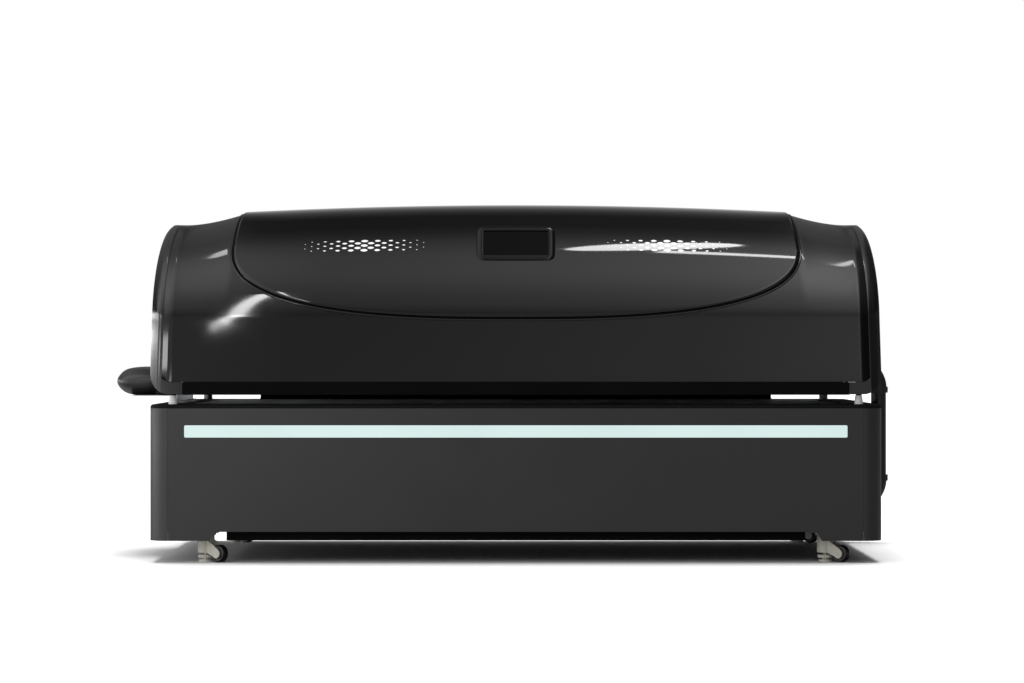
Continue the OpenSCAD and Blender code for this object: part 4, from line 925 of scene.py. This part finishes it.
class EndRings(bpy.types.Operator):
    """The satin end rings: a band with an outer facet, an end face and the liner's sleeve"""

    bl_idname = "light_bed.end_rings"
    bl_label = "End rings"

    def execute(self, context):
        seat = TUNNEL_R + LINER_T + SLEEVE_PLAY
        # Each point of the section: its x, its kind and a value. "skin" lies on the canopy's skin,
        # "edge" goes round the outer edge, "share" crosses the end face, and "bore" has a radius.
        section = [(RING_X, "skin", 0.0)]
        section += [(END_X, "edge", 1 - (1 - k / 12) ** 1.5) for k in range(13)]
        section += [(END_X, "share", s / 6) for s in range(1, 6)]
        for k in range(6):
            a = math.pi / 2 * k / 5
            section.append((END_X - RING_LIP * (1 - math.cos(a)), "bore",
                            TUNNEL_R + RING_LIP * (1 - math.sin(a))))
        section += [(RING_X, "bore", TUNNEL_R), (RING_X, "bore", seat),
                    (RING_X - SLEEVE_L, "bore", seat),
                    (RING_X - SLEEVE_L, "bore", seat + SLEEVE_T),
                    (RING_X, "bore", seat + SLEEVE_T), (RING_X, "skin", 0.0)]
        last = len(section) - 1

        def bore(x, radius, a, foot):
            """A point at a radius round the tunnel's axis, kept above the foot"""
            edge = Vector((arch_y(0, a), arch_z(x, 0, a) - TUNNEL_Z))
            p = edge.normalized() * radius
            z = max(TUNNEL_Z + p.y, foot)
            y = math.copysign(math.sqrt(max(0.0, radius ** 2 - (z - TUNNEL_Z) ** 2)), p.x)
            return Vector((x * leaned(z), y, z))

        def place(u, v):
            x, kind, value = section[round(v * last)]
            # The outer edge is a facet with soft ends, broad beside the walls
            back, sunk = 0.0, 1.0
            if kind == "skin":
                sunk = 0.0
            elif kind == "edge":
                turn = math.pi / 2 * value
                back = FLAT * (1 - value) + (1 - FLAT) * (1 - math.sin(turn))
                sunk = FLAT * value + (1 - FLAT) * (1 - math.cos(turn))
            foot = CANOPY_Z + corner_lift(x - RING_FACET * back, END_X, RING_CORNER)
            a0 = foot_angle(foot)
            a = a0 + u * (180 - 2 * a0)
            if kind == "bore":
                return bore(x, value, a, foot)
            edge = RING_EDGE + (RING_FACET - RING_EDGE) * wall_share(a)
            inset = ROLL_DEPTH * wall_share(a) + edge * sunk
            x -= edge * back
            z = arch_z(x, inset, a)
            outer = Vector((x * leaned(z), arch_y(inset, a), z))
            if kind != "share":
                return outer
            return outer.lerp(bore(x, TUNNEL_R + RING_LIP, a, foot), value)

        for side in ("left", "right"):
            bm = mapped_grid(120, last, place)
            bmesh.ops.remove_doubles(bm, verts=bm.verts, dist=1e-6)
            bmesh.ops.holes_fill(bm, edges=[e for e in bm.edges if e.is_boundary])
            if side == "left":
                bmesh.ops.scale(bm, vec=(-1, 1, 1), verts=bm.verts)
            bmesh.ops.recalc_face_normals(bm, faces=bm.faces)
            obj = to_object(bm, side + "_end_ring.skin", finish_of(side + "_end_ring"), 40)
            dress(obj, "canopy", side + "_end_ring")
        return {"FINISHED"}


class Lamps(bpy.types.Operator):
    """Rows of small domed lamps on the boards above and below the person"""

    bl_idname = "light_bed.lamps"
    bl_label = "Lamps"

    def execute(self, context):
        radius = context.scene.light_bed_sizes.lamp
        red = surface("deep_red_epoxy_lens", "#7a0d10", 0.12, 3.0, 0.003)
        clear = surface("smoked_infrared_lens", "#2b1a1d", 0.12, 3.0, 0.003)
        for name, node, body in (("upper", "upper_led_boards", "canopy"),
                                 ("lower", "lower_led_boards", "base")):
            made = ([], [])
            for count, centre, normal, along in board_faces(node):
                across = normal.cross(along)
                turn = normal.to_track_quat("Z", "Y").to_matrix().to_4x4()
                for i in range(-count[0], count[0] + 1):
                    for j in range(-count[1], count[1] + 1):
                        at = centre + along * (i * LAMP_PITCH) + across * (j * LAMP_PITCH)
                        made[(i + j) % 2].append(Matrix.Translation(at) @ turn)
            for places, material, kind in zip(made, (red, clear), ("red", "infrared")):
                obj = to_object(lamp_domes(places, radius), f"{name}_lamps.{kind}", material, 50)
                dress(obj, body)
        return {"FINISHED"}


def lamp_domes(places, radius):
    """One mesh with a small dome at each place, standing on the place's z axis"""
    dome = bmesh.new()
    # Eight sides that narrow upwards read as a dome at this size
    bmesh.ops.create_cone(dome, cap_ends=True, segments=8, radius1=radius,
                          radius2=radius * LAMP_TOP, depth=radius * LAMP_H,
                          matrix=Matrix.Translation((0, 0, radius * LAMP_H / 2)))
    faces = [[v.index for v in f.verts] for f in dome.faces]
    mesh = bpy.data.meshes.new("lamp_domes")
    mesh.from_pydata([place @ v.co for place in places for v in dome.verts], [],
                     [[k * len(dome.verts) + i for i in face] for k in range(len(places))
                      for face in faces])
    dome.free()
    bm = bmesh.new()
    bm.from_mesh(mesh)
    bpy.data.meshes.remove(mesh)
    return bm


def board_faces(node):
    """For each board of a node: how many lamps fit each way from its centre, and its axes"""
    bm = node_mesh(node)
    bm.normal_update()
    faces = {}
    # The boards' broad faces on the person's side, sorted by their planes
    for f in bm.faces:
        middle = f.calc_center_median()
        inward = f.normal.dot(tunnel_axis(middle) - middle)
        if node == "lower_led_boards":
            inward = f.normal.z * 0.5
        if f.calc_area() > 0.01 and inward > 0.3 and abs(f.normal.x) < 0.1:
            plane = round(middle.dot(f.normal) * 2000)
            faces.setdefault((round(f.normal.y, 3), plane), []).append(f)
    boards = []
    for group in faces.values():
        # Faces that share a corner belong to one board
        islands = []
        for f in group:
            points = {tuple(round(c, 5) for c in v.co) for v in f.verts}
            joined = [i for i in islands if i[0] & points]
            for i in joined:
                islands.remove(i)
                points |= i[0]
            islands.append((points, f.normal.copy()))
        for points, normal in islands:
            corners = [Vector(p) for p in points]
            centre = sum(corners, Vector()) / len(corners)
            along = Vector((1, 0, 0))
            across = normal.cross(along)
            half_l = max((p - centre).dot(along) for p in corners)
            half_w = max((p - centre).dot(across) for p in corners)
            count = [int((half - LAMP_PITCH / 2) / LAMP_PITCH) for half in (half_l, half_w)]
            boards.append((count, centre, normal, along))
    bm.free()
    return boards


class Bolster(bpy.types.Operator):
    """The neck bolster: a leather cover blown up over its filling"""

    bl_idname = "light_bed.bolster"
    bl_label = "Neck bolster"

    def execute(self, context):
        low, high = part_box("neck_bolster")
        low.x -= BOLSTER_SWELL
        high.z += BOLSTER_SWELL / 2
        size = high - low
        centre = (low + high) / 2

        def squared(c, power=BOLSTER_SECTION):
            """A sine or cosine that makes a round outline squarer"""
            return math.copysign(abs(c) ** (2 / power), c)

        bm = bmesh.new()
        bmesh.ops.create_uvsphere(bm, u_segments=48, v_segments=32, radius=1.0)
        for v in bm.verts:
            # The sphere's poles turn to the bolster's two ends
            polar = math.acos(max(-1.0, min(1.0, v.co.z)))
            around = math.atan2(v.co.y, v.co.x)
            fat = squared(math.sin(polar), BOLSTER_PLAN) ** 0.8 if polar > 0 else 0.0
            end = squared(math.cos(polar), BOLSTER_PLAN)
            # The cover is drawn in a little at its middle, and lies flat on the shelf
            waist = 0.955 + 0.045 * end * end
            x = squared(math.cos(around)) * fat * waist * BOLSTER_HALF[0] * size.x
            tall = 0.95 - 0.1 * end * end
            z = squared(math.sin(around)) * fat * tall * BOLSTER_HALF[2] * size.z
            v.co = centre + Vector((x, end * BOLSTER_HALF[1] * size.y,
                                    max(z, -BOLSTER_FLAT * size.z)))
        weld(bm, 1e-5)
        obj = to_object(bm, "neck_bolster.cover", finish_of("neck_bolster"), 80)
        blow_up(obj, context.scene.light_bed_sizes.cloth_swell, low.z)
        obj.data.shade_smooth()
        dress(obj, "base", "neck_bolster")
        return {"FINISHED"}


def blow_up(obj, most, floor_z):
    """Cloth under pressure, held near its start and above what it rests on, and smoothed"""
    modify(obj, "REMESH", mode="VOXEL", voxel_size=CLOTH_GRID)
    apply_modifiers(obj)
    start = [v.co.copy() for v in obj.data.vertices]
    cloth = modify(obj, "CLOTH").settings
    cloth.quality = 5
    cloth.use_pressure = True
    cloth.uniform_pressure_force = 4.0
    cloth.effector_weights.gravity = 0.0
    for number in range(1, CLOTH_FRAMES + 1):
        bpy.context.scene.frame_set(number)
    apply_modifiers(obj)
    for v, rest in zip(obj.data.vertices, start):
        step = v.co - rest
        if step.length > most:
            v.co = rest + step.normalized() * most
        v.co.z = max(v.co.z, floor_z + CLOTH_REST)
    bpy.context.scene.frame_set(1)
    modify(obj, "SMOOTH", iterations=4)
    modify(obj, "SUBSURF", levels=1, render_levels=1)
    apply_modifiers(obj)


class Hose(bpy.types.Operator):
    """The hose between the two elbows"""

    bl_idname = "light_bed.hose"
    bl_label = "Service hose"

    def execute(self, context):
        low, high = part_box("service_conduit")
        radius = (high.x - low.x) / 2
        rings = 60
        bm = bmesh.new()
        circle = bmesh.ops.create_circle(bm, segments=40, radius=radius)["verts"]
        edges = list(bm.edges)
        bmesh.ops.translate(bm, verts=circle, vec=(low.x + radius, low.y + radius, low.z))
        for _ in range(rings):
            fresh, edges = grow(bm, edges)
            bmesh.ops.translate(bm, verts=fresh, vec=(0, 0, (high.z - low.z) / rings))
        face_out(bm, lambda p: Vector((low.x + radius, low.y + radius, p.z)))
        obj = to_object(bm, "service_hose", finish_of("service_conduit"))
        modify(obj, "SOLIDIFY", thickness=HOSE_WALL, offset=-1.0)
        apply_modifiers(obj)
        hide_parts("service_conduit")
        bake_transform(obj)
        return {"FINISHED"}


class Screws(bpy.types.Operator):
    """Pan-head screws of the rear sheet and of the two fans behind it"""

    bl_idname = "light_bed.screws"
    bl_label = "Screws"

    def execute(self, context):
        low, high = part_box("rear_panel")
        bm = bmesh.new()
        for z in (high.z - SCREW_TOP, low.z + SCREW_FOOT):
            for i in range(9):
                x = low.x + SCREW_SIDE + i * (high.x - low.x - 2 * SCREW_SIDE) / 8
                add_screw(bm, Vector((x, high.y, z)), SCREW_R)
        near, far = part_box("fan_frames")
        for edge in (near.x, far.x):
            inner = edge + math.copysign(FAN_W, -edge)
            for x in (edge, inner):
                for z in (near.z, far.z):
                    at = Vector((x + math.copysign(FAN_INSET, (edge + inner) / 2 - x), high.y,
                                 z + math.copysign(FAN_INSET, (near.z + far.z) / 2 - z)))
                    add_screw(bm, at, FAN_SCREW_R)
        obj = to_object(bm, "rear_screws", finish_for("zinc_steel"), 40)
        dress(obj, "base", slot="zinc_steel")
        return {"FINISHED"}


def add_screw(bm, at, radius):
    """A domed head with a hollow in its middle, which faces back"""
    head = bmesh.ops.create_uvsphere(bm, u_segments=16, v_segments=8, radius=radius)["verts"]
    below = [v for v in head if v.co.z < -1e-6]
    bmesh.ops.delete(bm, geom=below, context="VERTS")
    head = [v for v in head if v.is_valid]
    for v in head:
        v.co.z *= SCREW_FLAT
        if math.hypot(v.co.x, v.co.y) < radius * SCREW_MIDDLE:
            v.co.z -= radius * SCREW_HOLLOW
    turn = Vector((0, 1, 0)).to_track_quat("Z", "Y").to_matrix().to_4x4()
    bmesh.ops.transform(bm, verts=head, matrix=Matrix.Translation(at) @ turn)


class Stage(bpy.types.Operator):
    """The white floor, the studio's light and the camera at the photograph's place"""

    bl_idname = "light_bed.stage"
    bl_label = "Stage"

    def execute(self, context):
        scene = context.scene
        scene.view_settings.view_transform = "Standard"
        make_floor()
        make_world(scene)
        add_softboxes()
        camera = bpy.data.cameras.new("camera")
        camera.sensor_width = FILM_W
        camera.lens = CAMERA_LENS * FILM_W / PHOTO_W
        camera.shift_x, camera.shift_y = (shift / PHOTO_W for shift in CAMERA_SHIFT)
        camera.clip_end = 100
        scene.camera = add_object("camera", camera)
        scene.camera.location = CAMERA_AT
        scene.camera.rotation_euler = (math.pi / 2, 0, 0)
        return {"FINISHED"}


def make_floor():
    """A broad white floor, which keeps the bed's shadow and throws little light up at it"""
    bm = bmesh.new()
    bmesh.ops.create_grid(bm, x_segments=1, y_segments=1, size=40)
    material = bpy.data.materials.new("white_studio_floor")
    material.use_nodes = True
    tree = material.node_tree
    tree.nodes.clear()
    seen = add_node(tree, "ShaderNodeBsdfDiffuse", {"Color": (0.92, 0.92, 0.92, 1)})
    dull = add_node(tree, "ShaderNodeBsdfDiffuse", {"Color": (0.25, 0.25, 0.25, 1)})
    path = add_node(tree, "ShaderNodeLightPath")
    pick = add_node(tree, "ShaderNodeMixShader", links={"Fac": path.outputs["Is Camera Ray"]})
    tree.links.new(dull.outputs[0], pick.inputs[1])
    tree.links.new(seen.outputs[0], pick.inputs[2])
    add_node(tree, "ShaderNodeOutputMaterial", links={"Surface": pick.outputs[0]})
    floor = to_object(bm, "stage_floor", material)


# The studio's brightness by degrees round the bed's length, from straight in front (0) over
# the top (90) to the back (180), and by how far a direction turns to the bed's ends
STUDIO_ROUND = ((-180, 1.0), (-2, 0.5), (0, 0.42), (5, 0.3), (12, 0.45), (20, 0.6), (33, 0.7),
                (46, 0.84), (57, 0.96), (69, 1.0), (80, 0.92), (90, 0.8), (102, 0.52), (110, 0.32),
                (115, 0.2), (121, 0.1), (130, 0.03), (145, 0.02), (180, 0.02))
STUDIO_ALONG = ((-1, 1.8), (-0.25, 1.4), (-0.12, 1.15), (-0.07, 0.8), (-0.03, 0.9), (0.02, 1.1),
                (0.06, 1.3), (0.09, 1.6), (0.13, 2.2), (0.2, 2.4), (0.3, 0.8), (0.5, 0.15),
                (1, 0.08))
# The bright back wall, which only the middle of the canopy mirrors
STUDIO_BACK = ((-180, 0), (145, 0.0), (151, 0.04), (157, 0.1), (165, 0.27), (172, 0.57),
               (180, 1.0))
STUDIO_MIDDLE = ((-1, 0.12), (-0.11, 0.12), (-0.085, 1.0), (0.085, 1.0), (0.11, 0.12),
                 (1, 0.12))
# A glow over both ends, and the light on matt surfaces by height and by side
STUDIO_ENDS = ((-1, 0.4), (-0.25, 0.3), (-0.14, 0.24), (-0.105, 0.0), (0.105, 0.0), (0.13, 0.2),
               (0.22, 0.24), (0.3, 0.02), (1, 0.02))
STUDIO_SOFT = ((-1, 0.2), (0, 0.25), (0.3, 0.6), (0.6, 0.55), (1, 0.35))
STUDIO_SIDE = ((-1, 1.1), (0.2, 1.05), (0.5, 0.6), (1, 0.05))


def level_ramp(tree, value, stops):
    """A level for each value, drawn straight between stops of value and level"""
    low, high = stops[0][0], stops[-1][0]
    most = max(level for _, level in stops)
    share = add_node(tree, "ShaderNodeMapRange", {"From Min": low, "From Max": high},
                     {"Value": value})
    ramp = add_node(tree, "ShaderNodeValToRGB", links={"Fac": share.outputs["Result"]})
    elements = ramp.color_ramp.elements
    while len(elements) < len(stops):
        elements.new(1.0)
    for element, (at, level) in zip(elements, stops):
        element.position = (at - low) / (high - low)
        element.color = (level / most, level / most, level / most, 1)
    scaled = add_node(tree, "ShaderNodeMath", {"operation": "MULTIPLY"})
    tree.links.new(ramp.outputs["Color"], scaled.inputs[0])
    scaled.inputs[1].default_value = most
    return scaled.outputs[0]


def product(tree, one, other, plus=None):
    """The product of two levels, with a third added"""
    node = add_node(tree, "ShaderNodeMath", {"operation": "MULTIPLY"})
    tree.links.new(one, node.inputs[0])
    tree.links.new(other, node.inputs[1])
    if plus is not None:
        total = add_node(tree, "ShaderNodeMath", {"operation": "ADD"})
        tree.links.new(node.outputs[0], total.inputs[0])
        tree.links.new(plus, total.inputs[1])
        node = total
    return node.outputs[0]


def make_world(scene):
    """White to the camera, a shaded studio to the gloss, and a soft light to matt surfaces"""
    world = bpy.data.worlds.new("studio")
    scene.world = world
    world.use_nodes = True
    tree = world.node_tree
    tree.nodes.clear()
    where = add_node(tree, "ShaderNodeTexCoord")
    split = add_node(tree, "ShaderNodeSeparateXYZ", links={"Vector": where.outputs["Generated"]})
    front = add_node(tree, "ShaderNodeMath", {"operation": "MULTIPLY"})
    tree.links.new(split.outputs["Y"], front.inputs[0])
    front.inputs[1].default_value = -1.0
    turn = add_node(tree, "ShaderNodeMath", {"operation": "ARCTAN2"})
    tree.links.new(split.outputs["Z"], turn.inputs[0])
    tree.links.new(front.outputs[0], turn.inputs[1])
    degrees = add_node(tree, "ShaderNodeMath", {"operation": "DEGREES"})
    tree.links.new(turn.outputs[0], degrees.inputs[0])
    across, height = split.outputs["X"], split.outputs["Z"]
    gloss = product(tree, level_ramp(tree, degrees.outputs[0], STUDIO_ROUND),
                    level_ramp(tree, across, STUDIO_ALONG))
    gloss = product(tree, level_ramp(tree, degrees.outputs[0], STUDIO_BACK),
                    level_ramp(tree, across, STUDIO_MIDDLE), plus=gloss)
    gloss = product(tree, level_ramp(tree, across, STUDIO_ENDS), height, plus=gloss)
    soft = product(tree, level_ramp(tree, height, STUDIO_SOFT),
                   level_ramp(tree, across, STUDIO_SIDE))
    path = add_node(tree, "ShaderNodeLightPath")
    white = add_node(tree, "ShaderNodeBackground", {"Color": (1, 1, 1, 1), "Strength": 1.0})
    last = white
    for kind, level in (("Is Glossy Ray", gloss), ("Is Diffuse Ray", soft)):
        light = add_node(tree, "ShaderNodeBackground", {"Color": (1, 1, 1, 1)},
                         {"Strength": level})
        pick = add_node(tree, "ShaderNodeMixShader", links={"Fac": path.outputs[kind]})
        tree.links.new(last.outputs[0], pick.inputs[1])
        tree.links.new(light.outputs[0], pick.inputs[2])
        last = pick
    add_node(tree, "ShaderNodeOutputWorld", links={"Surface": last.outputs[0]})
    # The light path tells the rays apart only where they meet the world by themselves
    world.cycles.sampling_method = "NONE"


# Softboxes: shape, both ends, width, the point that each faces, and its brightness
SOFTBOXES = (
    ("strip_left", "RECTANGLE", (-1.068, -3.3, 0.86), (-1.04, -3.3, 3.1), 0.065,
     (-0.8, -0.575, 0.75), 20),
    ("strip_bend", "RECTANGLE", (-1.116, -3.3, 0.745), (-1.066, -3.3, 0.93), 0.045,
     (-0.85, -0.575, 0.73), 20),
    ("strip_foot", "RECTANGLE", (-1.168, -3.3, 0.720), (-1.105, -3.3, 0.757), 0.028,
     (-0.9, -0.575, 0.71), 15),
    ("spot_left", "ELLIPSE", (-1.617, 0.40, 3.85), (-1.712, 0.97, 3.85), 0.06,
     (-0.9, -0.46, 0.93), 4.5),
    ("strip_top", "ELLIPSE", (0.23, -0.08, 3.85), (0.95, 0.68, 3.85), 0.36,
     (0.5, -0.48, 0.93), 9.5),
    ("strip_end", "RECTANGLE", (0.60, -0.06, 3.85), (1.27, -0.17, 3.85), 0.17,
     (0.7, -0.48, 0.93), 12.5),
    ("spot_right", "ELLIPSE", (1.52, -0.03, 3.85), (1.448, 0.62, 3.85), 0.07,
     (1.0, -0.5, 0.9), 6),
    ("ring_top", "RECTANGLE", (-3.5, -0.8, 0.767), (-3.5, 3.0, 0.767), 0.055,
     (-1.09, -0.54, 0.70), 13),
    ("ring_middle", "RECTANGLE", (-3.5, -0.8, 0.71), (-3.5, 3.0, 0.71), 0.06,
     (-1.09, -0.54, 0.65), 4.5),
    ("ring_low", "RECTANGLE", (-3.5, -0.8, 0.635), (-3.5, 3.0, 0.635), 0.09,
     (-1.09, -0.54, 0.59), 2.2),
    ("roll_left", "RECTANGLE", (-3.5, -2.2, 0.695), (-3.5, -1.1, 0.695), 0.13,
     (-1.05, -0.56, 0.66), 8),
    ("panel_left", "RECTANGLE", (-3.5, -5.6, 0.27), (-3.5, 0.5, 0.27), 0.54,
     (-1.1, -2.5, 0.30), 2.6),
    ("panel_front", "RECTANGLE", (-3.4, -5.6, 0.27), (-1.7, -5.6, 0.27), 0.54,
     (-1.1, -0.55, 0.30), 5.0),
)


def add_softboxes():
    """Long lamps, whose reflections are the streaks on the gloss, and a broad top light"""
    for name, shape, start, end, width, to, bright in SOFTBOXES:
        start, end, to = Vector(start), Vector(end), Vector(to)
        along = end - start
        lamp = bpy.data.lights.new(name, "AREA")
        lamp.shape = shape
        lamp.size = along.length
        lamp.size_y = width
        lamp.energy = bright * math.pi * along.length * width
        obj = add_object(name, lamp)
        x = along.normalized()
        z = (start + end) / 2 - to
        z = (z - x * z.dot(x)).normalized()
        obj.matrix_world = place_at((start + end) / 2, x, z.cross(x), z)
        obj.visible_camera = False
    sun = bpy.data.lights.new("top_light", "SUN")
    sun.energy = 3.4
    sun.angle = math.radians(30)
    obj = add_object("top_light", sun)
    obj.rotation_euler = (math.radians(-8), 0, 0)
    obj.visible_glossy = False


STEPS = (FinishNodes, EaseEdges, CanopyShell, Bonnet, DisplayPod, EndRings, BaseTrims, Lamps,
         Bolster, Hose, Screws, Stage)


class LightBedPanel(bpy.types.Panel):
    """Lists the bed's sizes, colours and steps"""

    bl_idname = "VIEW3D_PT_light_bed"
    bl_label = "Light bed"
    bl_space_type = "VIEW_3D"
    bl_region_type = "UI"
    bl_category = "Light bed"

    def draw(self, context):
        for group in (context.scene.light_bed_sizes, context.scene.light_bed_colours):
            for key in group.__annotations__:
                self.layout.prop(group, key)
        for step in STEPS:
            self.layout.operator(step.bl_idname)


CLASSES = (LightBedSizes, LightBedColours, *STEPS, LightBedPanel)


def register():
    """Registers the classes and hangs the sizes and colours on the scene"""
    for cls in CLASSES:
        bpy.utils.register_class(cls)
    bpy.types.Scene.light_bed_sizes = bpy.props.PointerProperty(type=LightBedSizes)
    bpy.types.Scene.light_bed_colours = bpy.props.PointerProperty(type=LightBedColours)


def unregister():
    """Takes back what register does"""
    del bpy.types.Scene.light_bed_colours
    del bpy.types.Scene.light_bed_sizes
    for cls in reversed(CLASSES):
        bpy.utils.unregister_class(cls)


def main():
    """Registers the add-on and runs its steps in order"""
    register()
    for step in STEPS:
        group, name = step.bl_idname.split(".")
        if getattr(getattr(bpy.ops, group), name)() != {"FINISHED"}:
            raise RuntimeError(f"{step.bl_label} did not finish")


if __name__ == "__main__":
    main()
